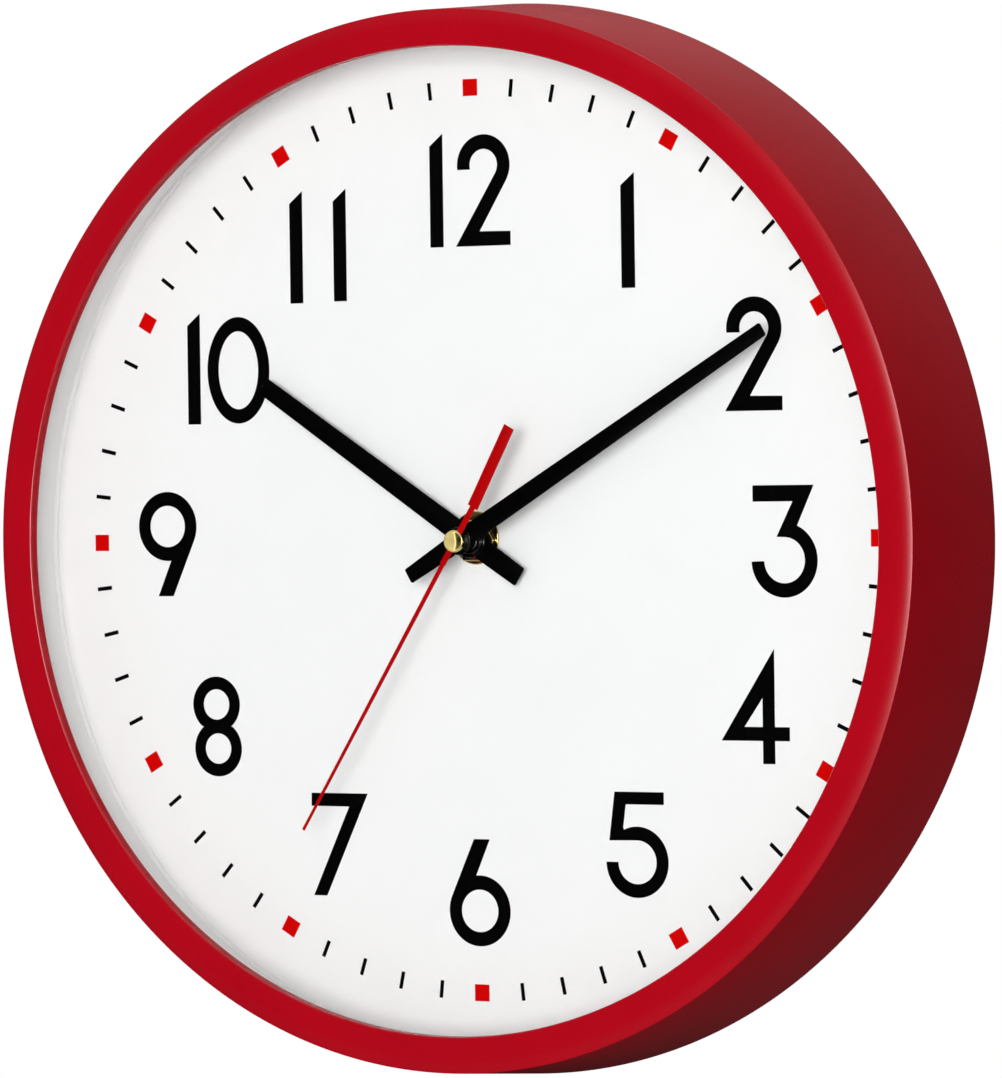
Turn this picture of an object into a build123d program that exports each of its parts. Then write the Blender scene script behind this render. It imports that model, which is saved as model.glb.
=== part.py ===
from build123d import *
from math import atan2, cos, pi, radians, sin
import os

# Round quartz wall clock. Millimetres. +X is right as seen from the front, +Y runs from the
# front into the wall and +Z is up. The origin is on the hands' axis at half the clock's depth.

# Case: a moulded ring that widens towards the wall. Its flange is flat around the opening and
# falls away a little towards its outer edge.
case_depth = 44.8
case_rear_radius = 158.82
case_front_radius = 154.8
opening_radius = 144.1
flange_thickness = 3.5
case_bore_radius = 151.5
case_crown_width = 3.7
case_crown_drop = 0.55
case_edge_round = 0.25
case_lip_round = 0.5
case_rear_round = 0.8
front_y = -case_depth / 2
rear_y = case_depth / 2

# Window, spacer and dial, stacked behind the flange
loose_fit = 0.3
stack_radius = case_bore_radius - loose_fit
lens_thickness = 2.0
lens_front = front_y + flange_thickness
lens_rear = lens_front + lens_thickness
dial_front = front_y + 22.0
dial_thickness = 1.0
dial_rear = dial_front + dial_thickness
spacer_inner_radius = 150.3
spacer_foot_radius = 149.2
spacer_foot_depth = 1.15

# Back cover, pressed against the dial by its rib and let into the case's rear
cover_front = 16.4
cover_thickness = 2.5
cover_rear = cover_front + cover_thickness
cover_seat_radius = 156.2
cover_radius = cover_seat_radius - loose_fit
rib_outer_radius = 150.2
rib_inner_radius = 148.2
window_side = 58.0
window_corner = 4.0
window_lip_width = 1.2
window_lip_height = 1.0
keyhole_z = 114.0
keyhole_entry_radius = 4.5
keyhole_slot_width = 4.6
keyhole_slot_top = 124.0
screw_count = 6
screw_circle_radius = 153.8
screw_shank_radius = 1.25
screw_head_radius = 2.2
screw_head_height = 1.4
screw_depth = 8.0
screw_drive_width = 0.8
screw_drive_depth = 0.7
pilot_clearance = 0.02
pilot_extra_depth = 0.5
screw_hole_radius = 1.45
screw_head_round = 0.45
screw_drive_length = 2.5

# Movement: 56 mm square, gears above a battery bay, clamped through the dial by its bushing
movement_side = 56.0
movement_corner = 3.0
movement_front = dial_rear + 1.0
movement_floor = 1.0
movement_rear = 17.1
ledge_y = 9.2
cover_plate_front = 15.9
gear_room_half = 26.5
ledge_half = 25.7
recess_half = 27.0
room_bottom = -10.7
divider_bottom = -11.9
bay_bottom = -26.9
bay_half = 26.5
bay_floor_y = 2.25
room_corner = 1.5
running = 0.05
slack = 0.1
middle_plate_thickness = 1.0
middle_plate_top = 18.2

# Bushing, nut and washers that hold the movement to the dial
bushing_radius = 4.0
bushing_bore = 2.8
bushing_flange_radius = 5.5
bushing_flange_thickness = 0.5
bushing_chamfer = 0.3
dial_hole_radius = 4.15
rubber_washer_radius = 9.0
washer_radius = 7.9
washer_hole_radius = 4.9
washer_thickness = 0.5
washer_offset = 0.8
nut_across_flats = 12.0
nut_thickness = 1.5
nut_chamfer = 0.25
bushing_proud = 0.2

# Hands: how far their front faces stand in front of the dial, and their clock angles
hand_thickness = 0.5
hour_hand_height = 3.5
hour_hand_angle = 303.1
hour_hand_length = 85.4
hour_hand_tail = 19.8
hour_hand_hub_width = 6.7
hour_hand_tip_width = 5.35
hour_hand_tail_width = 6.0
minute_hand_height = 9.9
minute_hand_angle = 59.57
minute_hand_length = 118.0
minute_hand_tail = 20.4
minute_hand_hub_width = 5.85
minute_hand_tip_width = 4.1
minute_hand_tail_width = 4.65
hand_corner = 0.6
second_hand_height = 12.2
second_hand_thickness = 0.3
second_hand_angle = 212.3
second_hand_length = 101.0
needle_root_width = 1.45
needle_tip_width = 0.95
neck_width = 1.85
neck_front_length = 8.0
neck_tail_length = 11.6
counterweight_end = 38.2
counterweight_width = 3.65
counterweight_lean = 3.6

# Turned collets that hold the hands: nose, flange, neck in the blade, and body behind it
hand_eye_wall = 1.2
hour_nose_radius = 3.9
hour_nose_proud = 0.9
hour_flange_radius = 5.1
hour_flange_proud = 0.4
hour_neck_radius = 3.5
hour_body_radius = 4.6
hour_body_length = 0.6
minute_nose_radius = 2.9
minute_nose_proud = 0.85
minute_flange_radius = 4.1
minute_flange_proud = 0.35
minute_neck_radius = 2.5
minute_body_radius = 3.1
minute_body_length = 4.2
minute_tube_proud = 0.2
second_neck_radius = 1.2
second_eye_wall = 0.9
cap_radius = 3.25
cap_height = 1.0
cap_rim = 0.35
cap_dish = 0.3
cap_rivet_radius = 1.9
cap_rivet_height = 0.35
cap_bore_depth = 0.45
seconds_arbor_proud = 0.4

# Coaxial tubes and arbors on the hands' axis
hour_tube_radius = 2.75
hour_tube_bore = 1.85
minute_tube_radius = 1.8
minute_tube_bore = 0.8
seconds_arbor_radius = 0.75
seat_gap = 0.01
pivot_radius = 0.4
pivot_hole_radius = 0.44
pivot_hole_depth = 1.2
pivot_length = 1.1
cover_hole_depth = 0.8
cover_pivot_length = 0.7
arbor_radius = 0.6

# Posts that carry arbors in the floor of the housing
room_front = movement_front + movement_floor
minute_boss_radius = 1.2
minute_boss_rear = 2.9
third_post_radius = 1.0
third_post_rear = 6.8
knob_post_radius = 1.4
knob_post_rear = 4.8

# Gear proportions, as shares of the module and of the tooth pitch
addendum = 0.9
dedendum = 1.2
tooth_root_share = 0.22
tooth_pitch_share = 0.19
tooth_tip_share = 0.06
hour_module = 0.48
motion_module = 0.5
centre_module = 0.25
third_module = 22.5 / 85
seconds_module = 0.3
rotor_module = 0.25

# Depths of the wheels
hour_wheel_front = 3.2
hour_wheel_rear = 4.4
motion_front = 5.0
motion_rear = 6.6
centre_front = 7.2
centre_rear = 8.2
third_front = 11.2
third_rear = 12.2
seconds_front = 12.8
seconds_rear = 13.8
fast_front = 14.3
fast_rear = 15.1
pivot_end = cover_plate_front + cover_pivot_length
pinion_overhang = 0.2
centre_hub_height = 0.5
minute_tube_overhang = 0.7
magnet_reach = 0.6

# Positions of the arbors, right and up from the hands' axis
axis_xz = (0.0, 0.0)
third_xz = (-9.0, 6.75)
minute_wheel_xz = (11.9055, 1.5)
knob_xz = (20.5, 9.8747)
intermediate_xz = (5.3, 7.2739)
rotor_xz = (9.5, 14.9516)

# Teeth
cannon_teeth = 12
minute_wheel_teeth = 36
minute_pinion_teeth = 10
hour_wheel_teeth = 40
knob_teeth = 12
pinion_teeth = 10
centre_wheel_teeth = 80
third_wheel_teeth = 75
seconds_wheel_teeth = 50
intermediate_teeth = 60

# Battery, size AA, lying across the foot of the movement
battery_radius = 7.25
battery_length = 50.5
battery_nub_radius = 2.7
battery_nub_length = 1.5
battery_y = 9.6
battery_z = -19.45
battery_left = -24.6
battery_edge_round = 0.8
contact_thickness = 0.3
contact_reach = 4.5
contact_inset = 2.0
leaf_flat = 2.0
leaf_root = 1.5

# Coil, stator and circuit
stator_front = 11.4
stator_rear = 12.4
stator_ring_radius = 5.6
stator_left = -25.0
left_pad_right = -20.0
right_pad_left = 12.0
stator_right = 18.6
leg_bottom = 17.3
leg_top = 18.6
pad_top = 24.4
right_pad_bottom = 14.0
rotor_hole_radius = 3.4
magnet_radius = 3.0
coil_z = 22.5
core_rear = stator_rear + 1.0
core_width = 3.0
coil_y = (stator_rear + core_rear) / 2
bobbin_left = -18.0
bobbin_right = 3.2
flange_width = 1.0
flange_height = 7.2
bobbin_depth = 5.2
bobbin_tube_wall = 0.6
winding_height = 6.0
winding_depth = 4.6
board_front = 12.9
board_rear = 13.7
board_left = -25.6
board_right = -10.6
board_bottom = -9.6
board_top = 17.0
board_corner = 0.5
chip_xz = (-16.5, 2.0)
chip_radius = 3.2
chip_height = 1.1
chip_round = 0.9
crystal_left = -24.0
crystal_z = -6.0
crystal_radius = 1.0
crystal_length = 6.2
crystal_round = 0.25

# Setting knob on the back of the movement
knob_radius = 5.5
knob_front = 17.4
knob_rear = 19.6
knob_shaft_radius = 1.2
knob_notches = 24
knob_notch_radius = 0.35

os.makedirs("parts", exist_ok=True)


def at_depth(y, clock_angle=0):
    """Sketch plane at depth y, seen from the front, turned clockwise by some degrees."""
    angle = radians(clock_angle)
    return Plane(origin=(0, y, 0), x_dir=(cos(angle), 0, -sin(angle)), z_dir=(0, -1, 0))


def disc(centre, radius, front, rear, mode=Mode.ADD):
    """Round plate, arbor or hole between two depths."""
    with BuildSketch(at_depth(rear)) as outline:
        with Locations(centre):
            Circle(radius)
    extrude(outline.sketch, amount=rear - front, mode=mode)


def block(left, right, bottom, top, front, rear, corner=0, mode=Mode.ADD):
    """Rectangular plate or pocket between two depths."""
    with BuildSketch(at_depth(rear)) as outline:
        with Locations(((left + right) / 2, (bottom + top) / 2)):
            if corner:
                RectangleRounded(right - left, top - bottom, corner)
            else:
                Rectangle(right - left, top - bottom)
    extrude(outline.sketch, amount=rear - front, mode=mode)


def turned(profile):
    """Turned piece: its profile gives radius and depth, and is spun about the hands' axis."""
    with BuildSketch(Plane.XY) as section:
        with BuildLine():
            Polyline(*profile, close=True)
        make_face()
    revolve(section.sketch, axis=Axis.Y)


def gear(centre, teeth, module, phase, front, rear):
    """Spur gear with one tooth centred at the angle phase."""
    pitch_radius = teeth * module / 2
    flank = (
        (pitch_radius - dedendum * module, tooth_root_share),
        (pitch_radius, tooth_pitch_share),
        (pitch_radius + addendum * module, tooth_tip_share),
    )
    pitch_angle = 2 * pi / teeth
    points = []
    for tooth in range(teeth):
        middle = phase + tooth * pitch_angle
        for side, corners in ((-1, flank), (1, flank[::-1])):
            for radius, share in corners:
                angle = middle + side * share * pitch_angle
                points.append((centre[0] + radius * cos(angle), centre[1] + radius * sin(angle)))
    with BuildSketch(at_depth(rear)) as outline:
        with BuildLine():
            Polyline(*points, close=True)
        make_face()
    extrude(outline.sketch, amount=rear - front)


def meshed(driver_xz, driver_teeth, driver_phase, driven_xz, driven_teeth):
    """Phase that sets a gap of the driven gear opposite each tooth of its driver."""
    direction = atan2(driven_xz[1] - driver_xz[1], driven_xz[0] - driver_xz[0])
    passed = (direction - driver_phase) * driver_teeth / (2 * pi)
    return direction + pi + (passed - 1 / 2) * 2 * pi / driven_teeth


def write(builder, name):
    """Label a finished piece and write its file."""
    builder.part.label = name
    export_step(builder.part, f"parts/{name}.step")


def screw_places():
    """Back cover screws, clear of the keyhole at the top."""
    return PolarLocations(screw_circle_radius, screw_count, start_angle=360 / screw_count / 2)


def in_front(height):
    """Depth of something that stands this far in front of the dial."""
    return dial_front - height


# Case, window, spacer and dial

with BuildPart() as case_ring:
    with BuildSketch(Plane.XY) as section:
        with BuildLine():
            crown_start = (case_front_radius - case_crown_width, front_y)
            crown_end = (case_front_radius, front_y + case_crown_drop)
            TangentArc(crown_start, crown_end, tangent=(1, 0))
            Polyline(
                crown_end,
                (case_rear_radius, rear_y),
                (cover_seat_radius, rear_y),
                (cover_seat_radius, cover_front),
                (case_bore_radius, cover_front),
                (case_bore_radius, lens_front),
                (opening_radius, lens_front),
                (opening_radius, front_y),
                crown_start,
            )
        make_face()
        for corner, edge_round in (
            (crown_end, case_edge_round),
            ((opening_radius, front_y), case_lip_round),
            ((case_rear_radius, rear_y), case_rear_round),
        ):
            fillet(section.vertices().sort_by_distance(corner)[0], edge_round)
    revolve(axis=Axis.Y)
    with BuildSketch(at_depth(cover_front)) as pilots:
        with screw_places():
            Circle(screw_shank_radius + pilot_clearance)
    extrude(amount=screw_depth + pilot_extra_depth, mode=Mode.SUBTRACT)
write(case_ring, "case_ring")

with BuildPart() as lens:
    disc(axis_xz, stack_radius, lens_front, lens_rear)
write(lens, "lens")

with BuildPart() as spacer_ring:
    turned([
        (spacer_inner_radius, lens_rear),
        (stack_radius, lens_rear),
        (stack_radius, dial_front),
        (spacer_foot_radius, dial_front),
        (spacer_foot_radius, dial_front - spacer_foot_depth),
        (spacer_inner_radius, dial_front - spacer_foot_depth),
    ])
write(spacer_ring, "spacer_ring")

with BuildPart() as dial_plate:
    disc(axis_xz, stack_radius, dial_front, dial_rear)
    disc(axis_xz, dial_hole_radius, dial_front, dial_rear, Mode.SUBTRACT)
write(dial_plate, "dial_plate")

# Back cover and its screws

with BuildPart() as back_cover:
    disc(axis_xz, cover_radius, cover_front, cover_rear)
    disc(axis_xz, rib_outer_radius, dial_rear, cover_front)
    disc(axis_xz, rib_inner_radius, dial_rear, cover_front, Mode.SUBTRACT)
    half_window = window_side / 2
    half_lip = half_window + window_lip_width
    lip_rear = cover_rear + window_lip_height
    block(-half_lip, half_lip, -half_lip, half_lip, cover_rear, lip_rear, window_corner)
    block(-half_window, half_window, -half_window, half_window,
          cover_front, lip_rear, window_corner, Mode.SUBTRACT)
    disc((0, keyhole_z), keyhole_entry_radius, cover_front, cover_rear, Mode.SUBTRACT)
    half_slot = keyhole_slot_width / 2
    block(-half_slot, half_slot, keyhole_z, keyhole_slot_top - half_slot,
          cover_front, cover_rear, mode=Mode.SUBTRACT)
    disc((0, keyhole_slot_top - half_slot), half_slot, cover_front, cover_rear, Mode.SUBTRACT)
    with BuildSketch(at_depth(cover_rear)) as screw_holes:
        with screw_places():
            Circle(screw_hole_radius)
    extrude(amount=cover_thickness, mode=Mode.SUBTRACT)
    rim = back_cover.edges().filter_by(GeomType.CIRCLE).sort_by(SortBy.RADIUS)[-2:]
    fillet(rim.sort_by(Axis.Y)[-1], case_lip_round)
write(back_cover, "back_cover")

with BuildPart() as back_cover_screws:
    with BuildSketch(at_depth(cover_rear)) as shanks:
        with screw_places():
            Circle(screw_shank_radius)
    extrude(amount=cover_thickness + screw_depth)
    with BuildSketch(at_depth(cover_rear + screw_head_height)) as heads:
        with screw_places():
            Circle(screw_head_radius)
    extrude(amount=screw_head_height)
    fillet(back_cover_screws.edges().group_by(Axis.Y)[-1], screw_head_round)
    with BuildSketch(at_depth(cover_rear + screw_head_height)) as crosses:
        with screw_places():
            Rectangle(screw_drive_width, screw_drive_length)
            Rectangle(screw_drive_length, screw_drive_width)
    extrude(amount=screw_drive_depth, mode=Mode.SUBTRACT)
write(back_cover_screws, "back_cover_screws")

# Movement housing

movement_half = movement_side / 2

with BuildPart() as movement_case:
    block(-movement_half, movement_half, -movement_half, movement_half,
          movement_front, movement_rear, movement_corner)
    block(-ledge_half, ledge_half, room_bottom, ledge_half,
          movement_front + movement_floor, ledge_y, room_corner, Mode.SUBTRACT)
    block(-gear_room_half, gear_room_half, room_bottom, gear_room_half,
          ledge_y, cover_plate_front, room_corner, Mode.SUBTRACT)
    block(-recess_half, recess_half, divider_bottom, recess_half,
          cover_plate_front, movement_rear, room_corner, Mode.SUBTRACT)
    block(-bay_half, bay_half, bay_bottom, divider_bottom,
          bay_floor_y, movement_rear, mode=Mode.SUBTRACT)
    disc(axis_xz, bushing_radius + running, movement_front,
         movement_front + movement_floor, Mode.SUBTRACT)
    for centre, radius, post_rear in (
        (minute_wheel_xz, minute_boss_radius, minute_boss_rear),
        (third_xz, third_post_radius, third_post_rear),
        (knob_xz, knob_post_radius, knob_post_rear),
    ):
        disc(centre, radius, room_front, post_rear)
        disc(centre, pivot_hole_radius, post_rear - pivot_hole_depth, post_rear, Mode.SUBTRACT)
write(movement_case, "movement_case")

middle_plate_rear = ledge_y + middle_plate_thickness
with BuildPart() as middle_plate:
    block(-gear_room_half + slack, gear_room_half - slack, room_bottom + slack, middle_plate_top,
          ledge_y, middle_plate_rear, room_corner)
    for centre, radius in (
        (axis_xz, seconds_arbor_radius + running),
        (third_xz, arbor_radius + running),
        (knob_xz, knob_shaft_radius + running),
        (minute_wheel_xz, pivot_hole_radius),
        (intermediate_xz, pivot_hole_radius),
        (rotor_xz, pivot_hole_radius),
    ):
        disc(centre, radius, ledge_y, middle_plate_rear, Mode.SUBTRACT)
write(middle_plate, "middle_plate")

with BuildPart() as movement_cover:
    block(-recess_half + slack, recess_half - slack, divider_bottom + slack, recess_half - slack,
          cover_plate_front, movement_rear, room_corner)
    disc(knob_xz, knob_shaft_radius + running, cover_plate_front, movement_rear, Mode.SUBTRACT)
    for centre in (axis_xz, third_xz, intermediate_xz, rotor_xz):
        disc(centre, pivot_hole_radius, cover_plate_front,
             cover_plate_front + cover_hole_depth, Mode.SUBTRACT)
write(movement_cover, "movement_cover")

# Bushing, washers and nut

washer_front = in_front(washer_thickness)
nut_front = washer_front - nut_thickness
bushing_front = nut_front - bushing_proud

with BuildPart() as threaded_bushing:
    disc(axis_xz, bushing_radius, bushing_front, room_front)
    disc(axis_xz, bushing_flange_radius, room_front, room_front + bushing_flange_thickness)
    chamfer(threaded_bushing.edges().group_by(Axis.Y)[0], bushing_chamfer)
    disc(axis_xz, bushing_bore, bushing_front, room_front + bushing_flange_thickness, Mode.SUBTRACT)
write(threaded_bushing, "threaded_bushing")

with BuildPart() as rubber_washer:
    disc(axis_xz, rubber_washer_radius, dial_rear, movement_front)
    disc(axis_xz, dial_hole_radius, dial_rear, movement_front, Mode.SUBTRACT)
write(rubber_washer, "rubber_washer")

with BuildPart() as brass_washer:
    disc((0, washer_offset), washer_radius, washer_front, dial_front)
    chamfer(brass_washer.edges().group_by(Axis.Y)[0], nut_chamfer)
    disc((0, washer_offset), washer_hole_radius, washer_front, dial_front, Mode.SUBTRACT)
write(brass_washer, "brass_washer")

with BuildPart() as hex_nut:
    with BuildSketch(at_depth(washer_front)) as hexagon:
        RegularPolygon(nut_across_flats / 2, 6, major_radius=False)
    extrude(amount=nut_thickness)
    chamfer(hex_nut.edges().group_by(Axis.Y)[0], nut_chamfer)
    disc(axis_xz, bushing_radius + seat_gap, nut_front, washer_front, Mode.SUBTRACT)
write(hex_nut, "hex_nut")

# Gear train. The motion work carries the hour and minute hands, and the time train the seconds.

minute_wheel_phase = meshed(axis_xz, cannon_teeth, 0, minute_wheel_xz, minute_wheel_teeth)
hour_wheel_phase = meshed(minute_wheel_xz, minute_pinion_teeth, 0, axis_xz, hour_wheel_teeth)
knob_phase = meshed(minute_wheel_xz, minute_wheel_teeth, minute_wheel_phase, knob_xz, knob_teeth)
third_phase = meshed(axis_xz, pinion_teeth, 0, third_xz, third_wheel_teeth)
centre_phase = meshed(third_xz, pinion_teeth, 0, axis_xz, centre_wheel_teeth)
intermediate_phase = meshed(axis_xz, seconds_wheel_teeth, 0, intermediate_xz, pinion_teeth)
rotor_phase = meshed(intermediate_xz, intermediate_teeth, 0, rotor_xz, pinion_teeth)

hour_hand_front = in_front(hour_hand_height)
minute_hand_front = in_front(minute_hand_height)
second_hand_front = in_front(second_hand_height)
hour_collet_front = hour_hand_front - hour_nose_proud
minute_collet_front = minute_hand_front - minute_nose_proud

with BuildPart() as hour_wheel:
    gear(axis_xz, hour_wheel_teeth, hour_module, hour_wheel_phase, hour_wheel_front, hour_wheel_rear)
    disc(axis_xz, hour_tube_radius, hour_collet_front, hour_wheel_front)
    disc(axis_xz, hour_tube_bore, hour_collet_front, hour_wheel_rear, Mode.SUBTRACT)
write(hour_wheel, "hour_wheel")

minute_tube_front = minute_collet_front - minute_tube_proud
minute_tube_rear = centre_rear + minute_tube_overhang
with BuildPart() as minute_arbor:
    gear(axis_xz, cannon_teeth, motion_module, 0, motion_front, motion_rear)
    disc(axis_xz, minute_tube_radius, minute_tube_front, minute_tube_rear)
    disc(axis_xz, hour_tube_radius, motion_rear, centre_front - slack)
    disc(axis_xz, minute_tube_bore, minute_tube_front, minute_tube_rear, Mode.SUBTRACT)
write(minute_arbor, "minute_arbor")

centre_hub_rear = centre_rear + centre_hub_height
with BuildPart() as centre_wheel:
    gear(axis_xz, centre_wheel_teeth, centre_module, centre_phase, centre_front, centre_rear)
    disc(axis_xz, hour_tube_radius, centre_rear, centre_hub_rear)
    disc(axis_xz, minute_tube_radius + running, centre_front, centre_hub_rear, Mode.SUBTRACT)
write(centre_wheel, "centre_wheel")

with BuildPart() as minute_wheel:
    gear(minute_wheel_xz, minute_pinion_teeth, hour_module, 0, hour_wheel_front - slack, motion_front)
    gear(minute_wheel_xz, minute_wheel_teeth, motion_module, minute_wheel_phase,
         motion_front, motion_rear)
    disc(minute_wheel_xz, arbor_radius, motion_rear, ledge_y - slack)
    disc(minute_wheel_xz, pivot_radius, minute_boss_rear - pivot_length, middle_plate_rear - slack)
write(minute_wheel, "minute_wheel")

with BuildPart() as third_wheel:
    gear(third_xz, pinion_teeth, centre_module, 0,
         centre_front - pinion_overhang, centre_rear + pinion_overhang)
    gear(third_xz, third_wheel_teeth, third_module, third_phase, third_front, third_rear)
    disc(third_xz, arbor_radius, centre_rear + pinion_overhang, cover_plate_front - slack)
    disc(third_xz, pivot_radius, third_post_rear - pivot_length, pivot_end)
write(third_wheel, "third_wheel")

with BuildPart() as seconds_wheel:
    gear(axis_xz, seconds_wheel_teeth, seconds_module, 0, seconds_front, seconds_rear)
    gear(axis_xz, pinion_teeth, third_module, 0, third_front - pinion_overhang, seconds_front)
    disc(axis_xz, seconds_arbor_radius, second_hand_front - seconds_arbor_proud,
         cover_plate_front - slack)
    disc(axis_xz, pivot_radius, cover_plate_front - slack, pivot_end)
write(seconds_wheel, "seconds_wheel")

with BuildPart() as intermediate_wheel:
    gear(intermediate_xz, pinion_teeth, seconds_module, intermediate_phase,
         seconds_front - pinion_overhang, fast_front)
    gear(intermediate_xz, intermediate_teeth, rotor_module, 0, fast_front, fast_rear)
    disc(intermediate_xz, arbor_radius, middle_plate_rear + slack, cover_plate_front - slack)
    disc(intermediate_xz, pivot_radius, ledge_y + slack, pivot_end)
write(intermediate_wheel, "intermediate_wheel")

with BuildPart() as rotor:
    gear(rotor_xz, pinion_teeth, rotor_module, rotor_phase,
         fast_front - pinion_overhang, fast_rear + pinion_overhang)
    disc(rotor_xz, magnet_radius, middle_plate_rear + magnet_reach, stator_rear + magnet_reach)
    disc(rotor_xz, arbor_radius, middle_plate_rear + slack, fast_front)
    disc(rotor_xz, pivot_radius, ledge_y + slack, pivot_end)
write(rotor, "rotor")

with BuildPart() as setting_knob:
    gear(knob_xz, knob_teeth, motion_module, knob_phase, motion_front, motion_rear)
    disc(knob_xz, knob_shaft_radius, motion_rear, knob_front)
    disc(knob_xz, pivot_radius, knob_post_rear - pivot_length, motion_front)
    disc(knob_xz, knob_radius, knob_front, knob_rear)
    chamfer(setting_knob.edges().group_by(Axis.Y)[-1], nut_chamfer)
    with BuildSketch(at_depth(knob_rear)) as notches:
        with Locations(knob_xz):
            with PolarLocations(knob_radius, knob_notches):
                Circle(knob_notch_radius)
    extrude(amount=knob_rear - knob_front, mode=Mode.SUBTRACT)
write(setting_knob, "setting_knob")

# Stepping motor: stator, coil and core, with the circuit board that drives it

core_half = core_width / 2

with BuildPart() as stator:
    disc(rotor_xz, stator_ring_radius, stator_front, stator_rear)
    block(stator_left, rotor_xz[0], leg_bottom, leg_top, stator_front, stator_rear)
    block(stator_left, left_pad_right, leg_bottom, pad_top, stator_front, stator_rear)
    block(right_pad_left, stator_right, right_pad_bottom, pad_top, stator_front, stator_rear)
    disc(rotor_xz, rotor_hole_radius, stator_front, stator_rear, Mode.SUBTRACT)
write(stator, "stator")

with BuildPart() as coil_core:
    block(stator_left, stator_right, coil_z - core_half, coil_z + core_half, stator_rear, core_rear)
write(coil_core, "coil_core")

tube_half_z = core_half + running + bobbin_tube_wall
tube_half_y = (core_rear - stator_rear) / 2 + running + bobbin_tube_wall

with BuildPart() as coil_bobbin:
    block(bobbin_left, bobbin_right, coil_z - tube_half_z, coil_z + tube_half_z,
          coil_y - tube_half_y, coil_y + tube_half_y)
    for left in (bobbin_left, bobbin_right - flange_width):
        block(left, left + flange_width, coil_z - flange_height / 2, coil_z + flange_height / 2,
              coil_y - bobbin_depth / 2, coil_y + bobbin_depth / 2)
    block(bobbin_left, bobbin_right, coil_z - core_half - running, coil_z + core_half + running,
          stator_rear - running, core_rear + running, mode=Mode.SUBTRACT)
write(coil_bobbin, "coil_bobbin")

with BuildPart() as coil_winding:
    with BuildSketch(Plane.YZ.offset(bobbin_left + flange_width)) as turns:
        with Locations((coil_y, coil_z)):
            RectangleRounded(winding_depth, winding_height, room_corner)
            Rectangle(2 * tube_half_y, 2 * tube_half_z, mode=Mode.SUBTRACT)
    extrude(amount=bobbin_right - bobbin_left - 2 * flange_width)
write(coil_winding, "coil_winding")

with BuildPart() as circuit_board:
    block(board_left, board_right, board_bottom, board_top, board_front, board_rear, board_corner)
write(circuit_board, "circuit_board")

with BuildPart() as control_chip:
    disc(chip_xz, chip_radius, board_rear, board_rear + chip_height)
    fillet(control_chip.edges().group_by(Axis.Y)[-1], chip_round)
write(control_chip, "control_chip")

with BuildPart() as quartz_crystal:
    with BuildSketch(Plane.YZ.offset(crystal_left)) as can:
        with Locations((board_rear + crystal_radius, crystal_z)):
            Circle(crystal_radius)
    extrude(amount=crystal_length)
    fillet(quartz_crystal.edges(), crystal_round)
write(quartz_crystal, "quartz_crystal")

# Battery and its contacts

battery_right = battery_left + battery_length
contact_rear = movement_rear - contact_inset

with BuildPart() as battery:
    with BuildSketch(Plane.YZ.offset(battery_left)) as can:
        with Locations((battery_y, battery_z)):
            Circle(battery_radius)
    extrude(amount=battery_length - battery_nub_length)
    fillet(battery.edges(), battery_edge_round)
    with BuildSketch(Plane.YZ.offset(battery_right - battery_nub_length)) as nub:
        with Locations((battery_y, battery_z)):
            Circle(battery_nub_radius)
    extrude(amount=battery_nub_length)
write(battery, "battery")

with BuildPart() as contact_positive:
    block(battery_right + slack, battery_right + slack + contact_thickness,
          battery_z - contact_reach, battery_z + contact_reach, bay_floor_y, contact_rear)
write(contact_positive, "contact_positive")

with BuildPart() as contact_negative:
    wall = -bay_half
    tip = battery_left - running
    with BuildSketch(Plane.XY.offset(battery_z - contact_reach)) as leaf:
        with BuildLine():
            Polyline(
                (wall, contact_rear),
                (wall, bay_floor_y),
                (wall + contact_thickness, bay_floor_y),
                (tip, battery_y - leaf_flat),
                (tip, battery_y + leaf_flat),
                (wall + contact_thickness, contact_rear - leaf_flat),
                (wall + contact_thickness, contact_rear),
                close=True,
            )
        make_face()
        with BuildLine():
            Polyline(
                (wall + contact_thickness, bay_floor_y + leaf_root),
                (tip - contact_thickness, battery_y - leaf_flat),
                (tip - contact_thickness, battery_y + leaf_flat),
                (wall + contact_thickness, contact_rear - 2 * leaf_root),
                close=True,
            )
        make_face(mode=Mode.SUBTRACT)
    extrude(amount=2 * contact_reach)
write(contact_negative, "contact_negative")

# Hands, each a thin blade on a turned collet


def blade(name, angle, front, lengths, widths, hole_radius):
    """Straight hand that tapers from its hub to its tip and to its tail."""
    tip, tail = lengths
    hub_width, tip_width, tail_width = widths
    with BuildPart() as hand:
        with BuildSketch(at_depth(front + hand_thickness, angle)) as outline:
            with BuildLine():
                Polyline(
                    (-tail_width / 2, -tail),
                    (-hub_width / 2, 0),
                    (-tip_width / 2, tip),
                    (tip_width / 2, tip),
                    (hub_width / 2, 0),
                    (tail_width / 2, -tail),
                    close=True,
                )
            make_face()
            ends = outline.vertices().filter_by_position(Axis.X, -hub_width, hub_width)
            fillet([v for v in ends if abs(v.Y) > hub_width], hand_corner)
            Circle(hole_radius + hand_eye_wall)
            Circle(hole_radius, mode=Mode.SUBTRACT)
        extrude(amount=hand_thickness)
    write(hand, name)


def collet(name, bore, front, steps):
    """Turned collet: each step is a radius and the depths, from the blade's front, that it spans."""
    with BuildPart() as bush:
        for radius, start, end in steps:
            disc(axis_xz, radius, front + start, front + end)
        disc(axis_xz, bore, front + steps[0][1], front + steps[-1][2], Mode.SUBTRACT)
    write(bush, name)


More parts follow.
